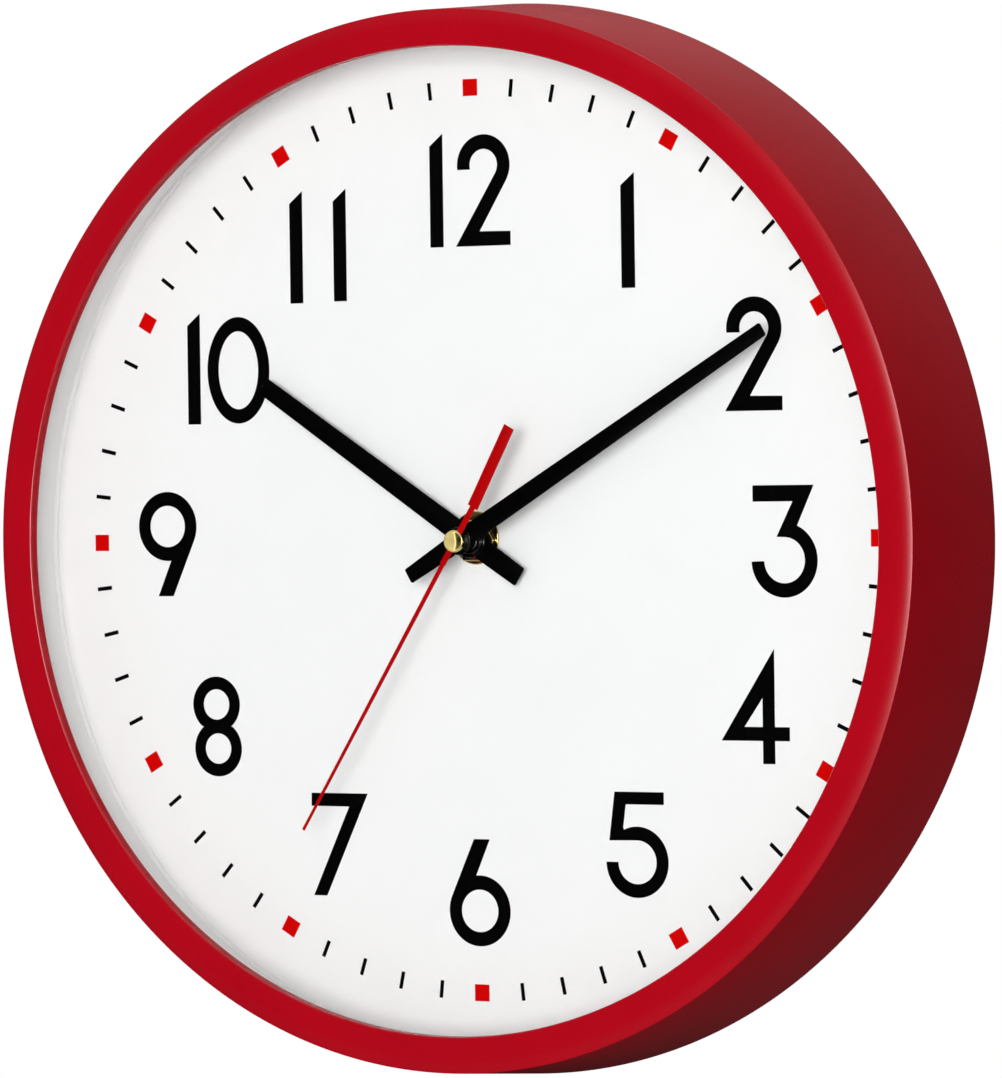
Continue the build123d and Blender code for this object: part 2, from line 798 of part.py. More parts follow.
blade("hour_hand", hour_hand_angle, hour_hand_front, (hour_hand_length, hour_hand_tail),
      (hour_hand_hub_width, hour_hand_tip_width, hour_hand_tail_width),
      hour_neck_radius + seat_gap)
collet("hour_hand_collet", hour_tube_radius + seat_gap, hour_hand_front, (
    (hour_nose_radius, -hour_nose_proud, -hour_flange_proud),
    (hour_flange_radius, -hour_flange_proud, 0),
    (hour_neck_radius, 0, hand_thickness),
    (hour_body_radius, hand_thickness, hand_thickness + hour_body_length),
))

blade("minute_hand", minute_hand_angle, minute_hand_front, (minute_hand_length, minute_hand_tail),
      (minute_hand_hub_width, minute_hand_tip_width, minute_hand_tail_width),
      minute_neck_radius + seat_gap)
collet("minute_hand_collet", minute_tube_radius + seat_gap, minute_hand_front, (
    (minute_nose_radius, -minute_nose_proud, -minute_flange_proud),
    (minute_flange_radius, -minute_flange_proud, 0),
    (minute_neck_radius, 0, hand_thickness),
    (minute_body_radius, hand_thickness, hand_thickness + minute_body_length),
))


def leaned(across, along):
    """Point of the counterweight, which leans from the needle's line where the neck ends."""
    lean = radians(counterweight_lean)
    reach = along - neck_tail_length
    return (
        across * cos(lean) + reach * sin(lean),
        -(neck_tail_length + reach * cos(lean) - across * sin(lean)),
    )


with BuildPart() as second_hand:
    with BuildSketch(at_depth(second_hand_front + second_hand_thickness, second_hand_angle)) as outline:
        with BuildLine():
            Polyline(
                (-needle_tip_width / 2, second_hand_length),
                (needle_tip_width / 2, second_hand_length),
                (needle_root_width / 2, neck_front_length),
                (neck_width / 2, neck_front_length),
                (neck_width / 2, -neck_tail_length),
                leaned(counterweight_width / 2, neck_tail_length),
                leaned(counterweight_width / 2, counterweight_end),
                leaned(-counterweight_width / 2, counterweight_end),
                leaned(-counterweight_width / 2, neck_tail_length),
                (-neck_width / 2, -neck_tail_length),
                (-neck_width / 2, neck_front_length),
                (-needle_root_width / 2, neck_front_length),
                close=True,
            )
        make_face()
        Circle(second_neck_radius + second_eye_wall)
        Circle(second_neck_radius + seat_gap, mode=Mode.SUBTRACT)
    extrude(amount=second_hand_thickness)
write(second_hand, "second_hand")

cap_front = second_hand_front - cap_height
cap_plate_rear = second_hand_front + second_hand_thickness
cap_rear = cap_plate_rear + cap_rivet_height

with BuildPart() as second_hand_cap:
    disc(axis_xz, cap_radius, cap_front, second_hand_front)
    disc(axis_xz, second_neck_radius, second_hand_front, cap_plate_rear)
    disc(axis_xz, cap_rivet_radius, cap_plate_rear, cap_rear)
    fillet(second_hand_cap.edges().group_by(Axis.Y)[0], cap_rim / 2)
    dish_rim = cap_radius - cap_rim
    dish_sphere = (dish_rim ** 2 + cap_dish ** 2) / (2 * cap_dish)
    with Locations((0, cap_front + cap_dish - dish_sphere, 0)):
        Sphere(dish_sphere, mode=Mode.SUBTRACT)
    disc(axis_xz, seconds_arbor_radius + seat_gap, second_hand_front - cap_bore_depth,
         cap_rear, Mode.SUBTRACT)
write(second_hand_cap, "second_hand_cap")
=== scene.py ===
"""Round quartz wall clock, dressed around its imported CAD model."""

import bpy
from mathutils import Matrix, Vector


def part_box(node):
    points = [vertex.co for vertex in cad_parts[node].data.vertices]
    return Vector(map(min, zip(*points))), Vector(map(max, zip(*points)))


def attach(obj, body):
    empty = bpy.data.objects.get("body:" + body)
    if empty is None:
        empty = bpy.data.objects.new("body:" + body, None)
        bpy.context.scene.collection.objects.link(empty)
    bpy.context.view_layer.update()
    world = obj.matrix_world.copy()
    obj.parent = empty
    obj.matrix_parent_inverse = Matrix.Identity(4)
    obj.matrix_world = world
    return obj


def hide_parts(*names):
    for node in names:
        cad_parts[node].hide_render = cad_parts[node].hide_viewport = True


bl_info = {
    "name": "Round wall clock",
    "version": (1, 0, 0),
    "blender": (4, 5, 0),
    "location": "3D View > Sidebar > Wall clock",
    "description": "Builds the visible pieces, finishes and studio of a red wall clock",
    "category": "Object",
}

from math import acos, atan2, cos, hypot, pi, radians, sin, tan

import bmesh
import bpy
from bpy.props import FloatProperty, FloatVectorProperty, IntProperty, PointerProperty
from mathutils import Matrix, Vector
from mathutils.geometry import tessellate_polygon

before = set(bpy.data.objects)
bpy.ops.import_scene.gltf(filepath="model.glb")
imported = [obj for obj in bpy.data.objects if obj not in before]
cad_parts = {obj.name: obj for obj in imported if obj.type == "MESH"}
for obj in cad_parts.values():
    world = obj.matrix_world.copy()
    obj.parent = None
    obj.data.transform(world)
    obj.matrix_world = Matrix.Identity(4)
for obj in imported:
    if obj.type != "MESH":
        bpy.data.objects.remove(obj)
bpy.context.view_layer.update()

mm = 0.001
um = 0.000001
full_turn = 2 * pi
crown_steps = 8
hours = 12
minutes = 60


def front_of(node):
    """Depth of a CAD node's front face."""
    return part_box(node)[0].y


def rear_of(node):
    """Depth of a CAD node's rear face."""
    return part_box(node)[1].y


def radii_of(node):
    """Least and greatest distance of a CAD node's corners from the hands' axis."""
    distances = [hypot(v.co.x, v.co.z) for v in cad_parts[node].data.vertices]
    return min(distances), max(distances)


def radii_at(node, depth):
    """Least and greatest distance from the hands' axis of a CAD node's corners near one depth."""
    near = 0.1 * mm
    corners = [v.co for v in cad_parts[node].data.vertices if abs(v.co.y - depth) < near]
    distances = [hypot(c.x, c.z) for c in corners]
    return min(distances), max(distances)


# Settings

def length(label, note, default):
    """A size that the sidebar shows in length units."""
    return FloatProperty(name=label, description=note, default=default, unit="LENGTH", precision=5)


def colour(label, note, default):
    """A linear colour that the sidebar shows as a swatch."""
    return FloatVectorProperty(
        name=label, description=note, default=default, subtype="COLOR", size=3, min=0.0, max=1.0
    )


def angle(label, note, default):
    """An angle that the sidebar shows in degrees."""
    return FloatProperty(name=label, description=note, default=radians(default), subtype="ANGLE")


class CaseSettings(bpy.types.PropertyGroup):
    """Sizes and colours of the moulded case and the parts stacked behind its flange."""

    crown_width: length("Crown width", "How wide the flange falls away towards its outer edge", 3.7 * mm)
    crown_drop: length("Crown drop", "How far the flange falls away at its outer edge", 0.55 * mm)
    edge_round: length("Outer edge", "Radius of the flange's outer edge", 0.25 * mm)
    lip_round: length("Lip", "Radius of the flange's inner edge", 0.5 * mm)
    rear_round: length("Rear edge", "Radius of the case's rear edge", 0.8 * mm)
    turns: IntProperty(name="Facets", description="Facets around a turned ring", default=360)
    red: colour("Case red", "Colour of the moulded case", (0.448, 0.0012, 0.0095))
    white: colour("White", "Colour of the dial", (0.88, 0.893, 0.888))
    black: colour("Black", "Colour of the black mouldings", (0.014, 0.014, 0.015))


class InkSettings(bpy.types.PropertyGroup):
    """Printed marks on the dial."""

    thickness: length("Ink thickness", "How far the print stands off the dial", 0.06 * mm)
    sink: length("Ink sink", "How far the print reaches into the dial", 0.02 * mm)
    circle: length("Mark circle", "Radius of the circle through the marks' middles", 133.0 * mm)
    tick_length: length("Tick length", "Length of a minute tick", 5.2 * mm)
    tick_width: length("Tick width", "Width of a minute tick", 1.2 * mm)
    square: length("Hour square", "Side of an hour square", 4.95 * mm)
    black: colour("Black ink", "Colour of the ticks and numerals", (0.0007, 0.0007, 0.0007))
    red: colour("Red ink", "Colour of the hour squares", (0.62, 0.0, 0.0))


class HubSettings(bpy.types.PropertyGroup):
    """Hands and the turned pieces that hold them."""

    blade_edge: length("Blade edge", "Round on the edge of a stamped hand", 0.09 * mm)
    dish: length("Dish", "Depth of the hollow in the front of the brass cap", 0.45 * mm)
    brass: colour("Brass", "Colour of the brass pieces", (0.82, 0.66, 0.25))
    red: colour("Second hand red", "Colour of the second hand", (0.46, 0.0, 0.001))


class StageSettings(bpy.types.PropertyGroup):
    """Floor, studio lights and camera."""

    floor_drop: length("Floor drop", "How far the floor lies below the clock's middle", 0.45)
    floor_radius: length("Floor radius", "Radius of the floor", 2.4)
    camera_distance: length("Camera distance", "From the camera to the clock's middle", 1.8412)
    camera_azimuth: angle("Azimuth", "Camera's direction to the right of the dial's front", 31.116)
    camera_elevation: angle("Elevation", "Camera's direction above the clock's middle", 0.6824)
    look_azimuth: angle("Look azimuth", "Direction that the camera looks along, from +Y to -X", 30.895)
    look_down: angle("Look down", "How far below level the camera looks", 0.672)
    roll: angle("Roll", "Turn of the camera about its own axis", -0.785)
    lens: FloatProperty(name="Lens", description="Focal length in millimetres", default=209.29)


class ClockSettings(bpy.types.PropertyGroup):
    """All settings of the clock."""

    case: PointerProperty(type=CaseSettings)
    ink: PointerProperty(type=InkSettings)
    hub: PointerProperty(type=HubSettings)
    stage: PointerProperty(type=StageSettings)


# Mesh helpers

def finished(name, mesh, material, body, replaced=(), smooth=35):
    """Put a mesh into the scene as a piece that rides on a body."""
    if not mesh.polygons:
        raise RuntimeError(f"{name} came out empty")
    mesh.materials.clear()
    mesh.materials.append(material)
    mesh.shade_smooth()
    mesh.set_sharp_from_angle(angle=radians(smooth))
    piece = bpy.data.objects.new(name, mesh)
    bpy.context.scene.collection.objects.link(piece)
    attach(piece, body)
    if replaced:
        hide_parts(*replaced)
    return piece


def mesh_of(name, vertices, faces):
    """A mesh with merged corners and faces that point outwards."""
    work = bmesh.new()
    corners = [work.verts.new(v) for v in vertices]
    for face in faces:
        work.faces.new([corners[i] for i in face])
    bmesh.ops.remove_doubles(work, verts=work.verts, dist=um)
    bmesh.ops.recalc_face_normals(work, faces=work.faces)
    mesh = bpy.data.meshes.new(name)
    work.to_mesh(mesh)
    work.free()
    return mesh


def softened(corners, steps=6):
    """Outline whose corners (x, y, radius) are rounded by arcs."""
    outline = []
    count = len(corners)
    for i, (x, y, radius) in enumerate(corners):
        here = Vector((x, y))
        if radius <= 0:
            outline.append(here)
            continue
        before = (Vector(corners[i - 1][:2]) - here).normalized()
        after = (Vector(corners[(i + 1) % count][:2]) - here).normalized()
        half = acos(max(-1.0, min(1.0, before.dot(after)))) / 2
        reach = radius / tan(half)
        centre = here + (before + after).normalized() * (radius / sin(half))
        first = here + before * reach - centre
        last = here + after * reach - centre
        sweep = pi - 2 * half
        side = 1 if first.cross(last) > 0 else -1
        for step in range(steps + 1):
            turn = Matrix.Rotation(side * sweep * step / steps, 2)
            outline.append(centre + turn @ first)
    return outline


def spun(name, outline, turns):
    """Turned mesh: the closed outline gives radius and depth, and is spun about the hands' axis."""
    vertices = []
    for turn in range(turns):
        bearing = full_turn * turn / turns
        vertices += [(r * sin(bearing), y, r * cos(bearing)) for r, y in outline]
    count = len(outline)
    faces = []
    for turn in range(turns):
        here = turn * count
        there = (turn + 1) % turns * count
        for i in range(count):
            j = (i + 1) % count
            faces.append((here + i, here + j, there + j, there + i))
    return mesh_of(name, vertices, faces)


def spun_solid(name, outline, turns):
    """Turned mesh of an open outline that starts and ends on the hands' axis."""
    inner = outline[1:-1]
    count = len(inner)
    vertices = [(0, outline[0][1], 0), (0, outline[-1][1], 0)]
    for turn in range(turns):
        bearing = full_turn * turn / turns
        vertices += [(r * sin(bearing), y, r * cos(bearing)) for r, y in inner]
    faces = []
    for turn in range(turns):
        here = 2 + turn * count
        there = 2 + (turn + 1) % turns * count
        faces.append((0, here, there))
        faces.append((1, there + count - 1, here + count - 1))
        for i in range(count - 1):
            faces.append((here + i, here + i + 1, there + i + 1, there + i))
    return mesh_of(name, vertices, faces)


def plate(name, contours, front, rear):
    """Flat mesh between two depths: the first contour is its outline, and the others are holes."""
    loops = [[Vector((x, 0, z)) for x, z in contour] for contour in contours]
    points = [p for loop in loops for p in loop]
    count = len(points)
    vertices = [(p.x, front, p.z) for p in points] + [(p.x, rear, p.z) for p in points]
    triangles = tessellate_polygon(loops)
    faces = [tuple(t) for t in triangles] + [tuple(i + count for i in reversed(t)) for t in triangles]
    start = 0
    for loop in loops:
        for i in range(len(loop)):
            a = start + i
            b = start + (i + 1) % len(loop)
            faces.append((a, b, b + count, a + count))
        start += len(loop)
    return mesh_of(name, vertices, faces)


def evaluated_mesh(name, carrier):
    """Plain mesh of a carrier with its modifiers applied, after which the carrier is removed."""
    bpy.context.view_layer.update()
    evaluated = carrier.evaluated_get(bpy.context.evaluated_depsgraph_get())
    mesh = bpy.data.meshes.new_from_object(evaluated)
    mesh.name = name
    bpy.data.objects.remove(carrier)
    return mesh


def baked(name, source, modifiers):
    """Plain mesh of a source mesh with modifiers applied, each given as (type, settings)."""
    carrier = bpy.data.objects.new(name + "_carrier", source)
    bpy.context.scene.collection.objects.link(carrier)
    for kind, settings in modifiers:
        modifier = carrier.modifiers.new(kind.title(), kind)
        for key, value in settings.items():
            setattr(modifier, key, value)
    return evaluated_mesh(name, carrier)


def eased(node, edge, segments=2):
    """Copy of a CAD node's mesh whose sharp edges are rounded a little."""
    flat = radians(0.6)
    sharp = radians(40)
    work = bmesh.new()
    work.from_mesh(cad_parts[node].data)
    bmesh.ops.remove_doubles(work, verts=work.verts, dist=2 * um)
    bmesh.ops.dissolve_limit(work, angle_limit=flat, verts=work.verts, edges=work.edges, delimit=set())
    bmesh.ops.recalc_face_normals(work, faces=work.faces)
    mesh = bpy.data.meshes.new(node + "_eased")
    work.to_mesh(mesh)
    work.free()
    bevel = {
        "width": edge,
        "segments": segments,
        "limit_method": "ANGLE",
        "angle_limit": sharp,
        "use_clamp_overlap": True,
        "miter_outer": "MITER_ARC",
    }
    return baked(node + "_eased", mesh, [("BEVEL", bevel)])


# Shader helpers

def surface_group(name, colour_value, shade, sizes, rough, spread):
    """Empty group with the sockets that every finish has and sizes of its own, and its two end nodes."""
    group = bpy.data.node_groups.new(name, "ShaderNodeTree")
    kinds = {"colour": "NodeSocketColor", "value": "NodeSocketFloat", "place": "NodeSocketVector"}
    inputs = [("Place", "place", None), ("Color", "colour", colour_value), ("Shade", "colour", shade)]
    inputs += [*sizes, ("Roughness", "value", rough), ("Spread", "value", spread)]
    for label, kind, default in inputs:
        socket = group.interface.new_socket(label, in_out="INPUT", socket_type=kinds[kind])
        if default is not None:
            socket.default_value = (*default, 1.0) if kind == "colour" else default
    for label, kind in (("Color", "colour"), ("Roughness", "value"), ("Height", "value")):
        group.interface.new_socket(label, in_out="OUTPUT", socket_type=kinds[kind])
    return group, group.nodes.new("NodeGroupInput"), group.nodes.new("NodeGroupOutput")


def math_node(tree, operation, first, second=None, clamp=False):
    """Math node fed by numbers or sockets."""
    node = tree.nodes.new("ShaderNodeMath")
    node.operation = operation
    node.use_clamp = clamp
    for socket, value in zip(node.inputs, (first, second)):
        if value is None:
            continue
        if isinstance(value, bpy.types.NodeSocket):
            tree.links.new(value, socket)
        else:
            socket.default_value = value
    return node.outputs[0]


def vector_node(tree, operation, first, second):
    """Vector math node fed by vectors or sockets."""
    node = tree.nodes.new("ShaderNodeVectorMath")
    node.operation = operation
    for socket, value in zip(node.inputs, (first, second)):
        if isinstance(value, bpy.types.NodeSocket):
            tree.links.new(value, socket)
        else:
            socket.default_value = value
    return node.outputs["Value" if operation in ("LENGTH", "DOT_PRODUCT") else "Vector"]


def noise_node(tree, place, scale, detail=3.0, roughness=0.55):
    """Noise texture value at a place, its scale given as a number or socket."""
    node = tree.nodes.new("ShaderNodeTexNoise")
    node.inputs["Detail"].default_value = detail
    node.inputs["Roughness"].default_value = roughness
    tree.links.new(place, node.inputs["Vector"])
    if isinstance(scale, bpy.types.NodeSocket):
        tree.links.new(scale, node.inputs["Scale"])
    else:
        node.inputs["Scale"].default_value = scale
    return node.outputs[0]


def blend_node(tree, share, first, second):
    """Mix of two colours by a share from 0 to 1."""
    node = tree.nodes.new("ShaderNodeMix")
    node.data_type = "RGBA"
    for socket, value in ((node.inputs[0], share), (node.inputs[6], first), (node.inputs[7], second)):
        if isinstance(value, bpy.types.NodeSocket):
            tree.links.new(value, socket)
        elif isinstance(value, (int, float)):
            socket.default_value = value
        else:
            socket.default_value = (*value[:3], 1.0)
    return node.outputs[2]


def spread_about(tree, noise, middle, spread):
    """A value that wanders about a middle by a spread, led by noise around one half."""
    centred = math_node(tree, "SUBTRACT", noise, 0.5)
    return math_node(tree, "ADD", math_node(tree, "MULTIPLY", centred, spread), middle)


def radius_node(tree, place):
    """Distance of a place from the hands' axis."""
    flat = vector_node(tree, "MULTIPLY", place, (1.0, 0.0, 1.0))
    return vector_node(tree, "LENGTH", flat, (0.0, 0.0, 0.0))


def led_out(group, entry, leave, share, wander, height):
    """The group with its colour blended by a share, its roughness led by a wander, and its height."""
    link = group.links.new
    link(blend_node(group, share, entry.outputs["Shade"], entry.outputs["Color"]), leave.inputs["Color"])
    rough = spread_about(group, wander, entry.outputs["Roughness"], entry.outputs["Spread"])
    link(rough, leave.inputs["Roughness"])
    link(height, leave.inputs["Height"])
    return group


def moulded_grain_group():
    """Fine spark-eroded grain and faint cloudiness of a moulded or printed surface."""
    sizes = [("Grain size", "value", 0.4 * mm), ("Cloud size", "value", 30 * mm)]
    group, entry, leave = surface_group("Moulded grain", (0.5, 0.5, 0.5), (0.4, 0.4, 0.4), sizes, 0.5, 0.1)
    place = entry.outputs["Place"]
    grain = noise_node(group, place, math_node(group, "DIVIDE", 1.0, entry.outputs["Grain size"]))
    cloud = noise_node(group, place, math_node(group, "DIVIDE", 1.0, entry.outputs["Cloud size"]), 2.0)
    mixed = math_node(group, "MULTIPLY", math_node(group, "ADD", grain, cloud), 0.5)
    contrast = math_node(group, "MULTIPLY", math_node(group, "SUBTRACT", mixed, 0.35), 3.0, clamp=True)
    return led_out(group, entry, leave, contrast, mixed, grain)


def turned_metal_group():
    """Concentric tool marks of metal turned about the hands' axis."""
    stain_size = 3 * mm
    sizes = [("Ring pitch", "value", 0.15 * mm)]
    group, entry, leave = surface_group("Turned metal", (0.7, 0.6, 0.4), (0.5, 0.4, 0.2), sizes, 0.25, 0.1)
    radius = radius_node(group, entry.outputs["Place"])
    rings = group.nodes.new("ShaderNodeTexNoise")
    rings.noise_dimensions = "1D"
    rings.inputs["Scale"].default_value = 1.0
    rings.inputs["Detail"].default_value = 2.0
    group.links.new(math_node(group, "DIVIDE", radius, entry.outputs["Ring pitch"]), rings.inputs["W"])
    marks = rings.outputs[0]
    stain = noise_node(group, entry.outputs["Place"], 1 / stain_size, 2.0)
    share = math_node(group, "MULTIPLY", math_node(group, "ADD", marks, stain), 0.5)
    return led_out(group, entry, leave, share, marks, marks)


def rolled_metal_group():
    """Streaks of rolled and stamped sheet, drawn out along one direction."""
    sizes = [("Streaks", "place", (40.0, 400.0, 4000.0))]
    group, entry, leave = surface_group("Rolled metal", (0.6, 0.6, 0.6), (0.4, 0.4, 0.4), sizes, 0.3, 0.2)
    drawn = vector_node(group, "MULTIPLY", entry.outputs["Place"], entry.outputs["Streaks"])
    streaks = noise_node(group, drawn, 1.0, 4.0)
    return led_out(group, entry, leave, streaks, streaks, streaks)


def wound_wire_group():
    """Turns of enamelled wire side by side along X; the colour darkens towards the Shade colour in the
    grooves between turns, which is painted shade.
    """
    wander_size = 2 * mm
    sizes = [("Wire", "value", 0.15 * mm)]
    group, entry, leave = surface_group("Wound wire", (0.6, 0.2, 0.08), (0.2, 0.05, 0.02), sizes, 0.3, 0.1)
    parts = group.nodes.new("ShaderNodeSeparateXYZ")
    group.links.new(entry.outputs["Place"], parts.inputs[0])
    wander = noise_node(group, entry.outputs["Place"], 1 / wander_size)
    turns = math_node(group, "DIVIDE", parts.outputs["X"], entry.outputs["Wire"])
    turns = math_node(group, "ADD", turns, wander)
    wave = math_node(group, "SINE", math_node(group, "MULTIPLY", turns, full_turn))
    height = math_node(group, "ADD", math_node(group, "MULTIPLY", wave, 0.5), 0.5)
    # The colour follows the same profile as the relief, so the grooves between turns carry painted shade.
    return led_out(group, entry, leave, height, wander, height)


effects = {}


def effect(name):
    """Shader node group of that name, built the first time it is asked for."""
    makers = {
        "Moulded grain": moulded_grain_group,
        "Turned metal": turned_metal_group,
        "Rolled metal": rolled_metal_group,
        "Wound wire": wound_wire_group,
    }
    if name not in effects:
        effects[name] = makers[name]()
    return effects[name]


def finish_of(name, effect_name, settings, bump=(0.0, 0.0), **constants):
    """Material whose colour, roughness and relief come from one shared effect."""
    material = bpy.data.materials.new(name)
    material.use_nodes = True
    tree = material.node_tree
    shader = tree.nodes["Principled BSDF"]
    place = tree.nodes.new("ShaderNodeTexCoord")
    surface = tree.nodes.new("ShaderNodeGroup")
    surface.node_tree = effect(effect_name)
    tree.links.new(place.outputs["Object"], surface.inputs["Place"])
    for label, value in settings.items():
        is_colour = surface.inputs[label].type == "RGBA"
        surface.inputs[label].default_value = (*value, 1.0) if is_colour else value
    tree.links.new(surface.outputs["Color"], shader.inputs["Base Color"])
    tree.links.new(surface.outputs["Roughness"], shader.inputs["Roughness"])
    strength, distance = bump
    if strength:
        relief = tree.nodes.new("ShaderNodeBump")
        relief.inputs["Strength"].default_value = strength
        relief.inputs["Distance"].default_value = distance
        tree.links.new(surface.outputs["Height"], relief.inputs["Height"])
        tree.links.new(relief.outputs["Normal"], shader.inputs["Normal"])
    for label, value in constants.items():
        shader.inputs[label.replace("_", " ")].default_value = value
    return material


def shaded(colour_value, share):
    """A colour scaled by a share."""
    return tuple(min(1.0, channel * share) for channel in colour_value)


def moulded(name, colour_value, grain=0.4 * mm, rough=0.5, depth=0.02 * mm, shade=0.9, **constants):
    """Moulded plastic, rubber or print."""
    settings = {
        "Color": colour_value,
        "Shade": shaded(colour_value, shade),
        "Grain size": grain,
        "Roughness": rough,
    }
    return finish_of(name, "Moulded grain", settings, (0.35, depth), **constants)


def rolled(name, colour_value, rough=0.3, streaks=(60.0, 600.0, 6000.0), metallic=1.0, **constants):
    """Rolled, drawn or plated sheet metal."""
    settings = {
        "Color": colour_value,
        "Shade": shaded(colour_value, 0.75),
        "Streaks": streaks,
        "Roughness": rough,
    }
    constants["Metallic"] = metallic
    return finish_of(name, "Rolled metal", settings, (0.15, 0.01 * mm), **constants)


def turned_finish(name, colour_value, rough=0.13, pitch=0.12 * mm, metallic=1.0, **constants):
    """Metal turned about the hands' axis."""
    settings = {
        "Color": colour_value,
        "Shade": shaded(colour_value, 0.7),
        "Ring pitch": pitch,
        "Roughness": rough,
    }
    constants["Metallic"] = metallic
    return finish_of(name, "Turned metal", settings, (0.1, 0.002 * mm), **constants)


def coat_edges(material, inner, outer, depth):
    """Let the coat show only in front of a depth, on the flange's inner edge and towards its outer edge."""
    crown_width, crown_ramp, crown_share = 4.4 * mm, 3.0 * mm, 0.3
    lip_width, lip_ramp, lip_share = 0.6 * mm, 0.3 * mm, 0.7
    tree = material.node_tree
    place = next(node for node in tree.nodes if node.type == "TEX_COORD").outputs["Object"]
    radius = radius_node(tree, place)
    from_outer = math_node(tree, "SUBTRACT", radius, outer - crown_width)
    from_inner = math_node(tree, "SUBTRACT", inner + lip_width, radius)
    crown = math_node(tree, "DIVIDE", from_outer, crown_ramp, clamp=True)
    lip = math_node(tree, "DIVIDE", from_inner, lip_ramp, clamp=True)
    crown = math_node(tree, "MULTIPLY", crown, crown_share)
    lip = math_node(tree, "MULTIPLY", lip, lip_share)
    parts = tree.nodes.new("ShaderNodeSeparateXYZ")
    tree.links.new(place, parts.inputs[0])
    ahead = math_node(tree, "LESS_THAN", parts.outputs["Y"], depth)
    weight = math_node(tree, "MULTIPLY", math_node(tree, "ADD", crown, lip), ahead)
    tree.links.new(weight, tree.nodes["Principled BSDF"].inputs["Coat Weight"])


def paint(node, material):
    """Give a CAD node its finish."""
    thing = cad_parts[node]
    for place in thing.material_slots:
        place.material = material


# Case, window, spacer and dial

class CLOCK_OT_case(bpy.types.Operator):
    """Moulded red case with a softly crowned flange and rounded edges"""

    bl_idname = "clock.case"
    bl_label = "Case"
    bl_options = {"REGISTER", "UNDO"}

    def execute(self, context):
        case = context.scene.wall_clock.case
        opening, rear_radius = radii_of("case_ring")
        front = front_of("case_ring")
        rear = rear_of("case_ring")
        edge = front + case.crown_drop
        edge_radius = radii_at("case_ring", edge)[1]
        flange_rear = front_of("lens")
        loose_fit = 0.3 * mm
        inner_round = 0.3 * mm
        behind_edge = 0.2 * mm
        bore = radii_of("lens")[1] + loose_fit
        seat = radii_of("back_cover")[1] + loose_fit
        seat_front = front_of("back_cover")
        corners = [(opening, front, case.lip_round)]
        for step in range(crown_steps):
            share = step / crown_steps
            out = edge_radius - case.crown_width * (1 - share)
            corners.append((out, front + case.crown_drop * share * share, 0))
        corners += [
            (edge_radius, edge, case.edge_round),
            (rear_radius, rear, case.rear_round),
            (seat, rear, inner_round),
            (seat, seat_front, 0),
            (bore, seat_front, inner_round),
            (bore, flange_rear, 0),
            (opening, flange_rear, inner_round),
        ]
        mesh = spun("case_body", softened(corners), case.turns)
        red = moulded(
            "red_moulding",
            case.red,
            grain=0.45 * mm,
            rough=0.26,
            depth=0.02 * mm,
            shade=0.86,
            Specular_IOR_Level=0.06,
            Coat_Roughness=0.26,
            Coat_IOR=1.5,
        )
        coat_edges(red, opening, edge_radius, edge + behind_edge)
        finished("case_body", mesh, red, "case", ["case_ring"])
        return {"FINISHED"}


class CLOCK_OT_window(bpy.types.Operator):
    """Clear flat window behind the flange"""

    bl_idname = "clock.window"
    bl_label = "Window"
    bl_options = {"REGISTER", "UNDO"}

    def execute(self, context):
        clear = finish_of(
            "clear_window",
            "Moulded grain",
            {"Color": (0.99, 1.0, 1.0), "Shade": (0.97, 0.98, 0.98), "Roughness": 0.04, "Spread": 0.03},
            Transmission_Weight=1.0,
            Alpha=0.1,
            IOR=1.005,
            Coat_Weight=1.0,
            Coat_Roughness=0.02,
            Coat_IOR=1.49,
        )
        paint("lens", clear)
        return {"FINISHED"}


class CLOCK_OT_dial(bpy.types.Operator):
    """White dial plate and the spacer ring that stands on it"""

    bl_idname = "clock.dial"
    bl_label = "Dial and spacer"
    bl_options = {"REGISTER", "UNDO"}

    def execute(self, context):
        case = context.scene.wall_clock.case
        print_paper = moulded("dial_paper", case.white, grain=0.25 * mm, rough=0.55, depth=0.004 * mm,
                              shade=0.985, Specular_IOR_Level=0.3)
        paint("dial_plate", print_paper)
        inner, outer = radii_of("spacer_ring")
        front = front_of("spacer_ring")
        rear = rear_of("spacer_ring")
        inner_wall, wall = radii_at("spacer_ring", front)
        foot = 1.15 * mm
        foot_step = 1.1 * mm
        inner_wall = max(inner_wall, inner + foot_step)
        corners = [
            (inner_wall, front, 0.25 * mm),
            (wall, front, 0.2 * mm),
            (outer, rear, 0.2 * mm),
            (inner, rear, 0),
            (inner, rear - foot, 0.25 * mm),
            (inner_wall, rear - foot, 0.15 * mm),
        ]
        mesh = spun("spacer_wall", softened(corners, 4), case.turns)
        white = moulded("white_spacer_moulding", (0.95, 0.97, 0.96), grain=0.3 * mm, rough=0.45,
                        depth=0.008 * mm, shade=0.97)
        finished("spacer_wall", mesh, white, "case", ["spacer_ring"])
        return {"FINISHED"}


# Printed marks

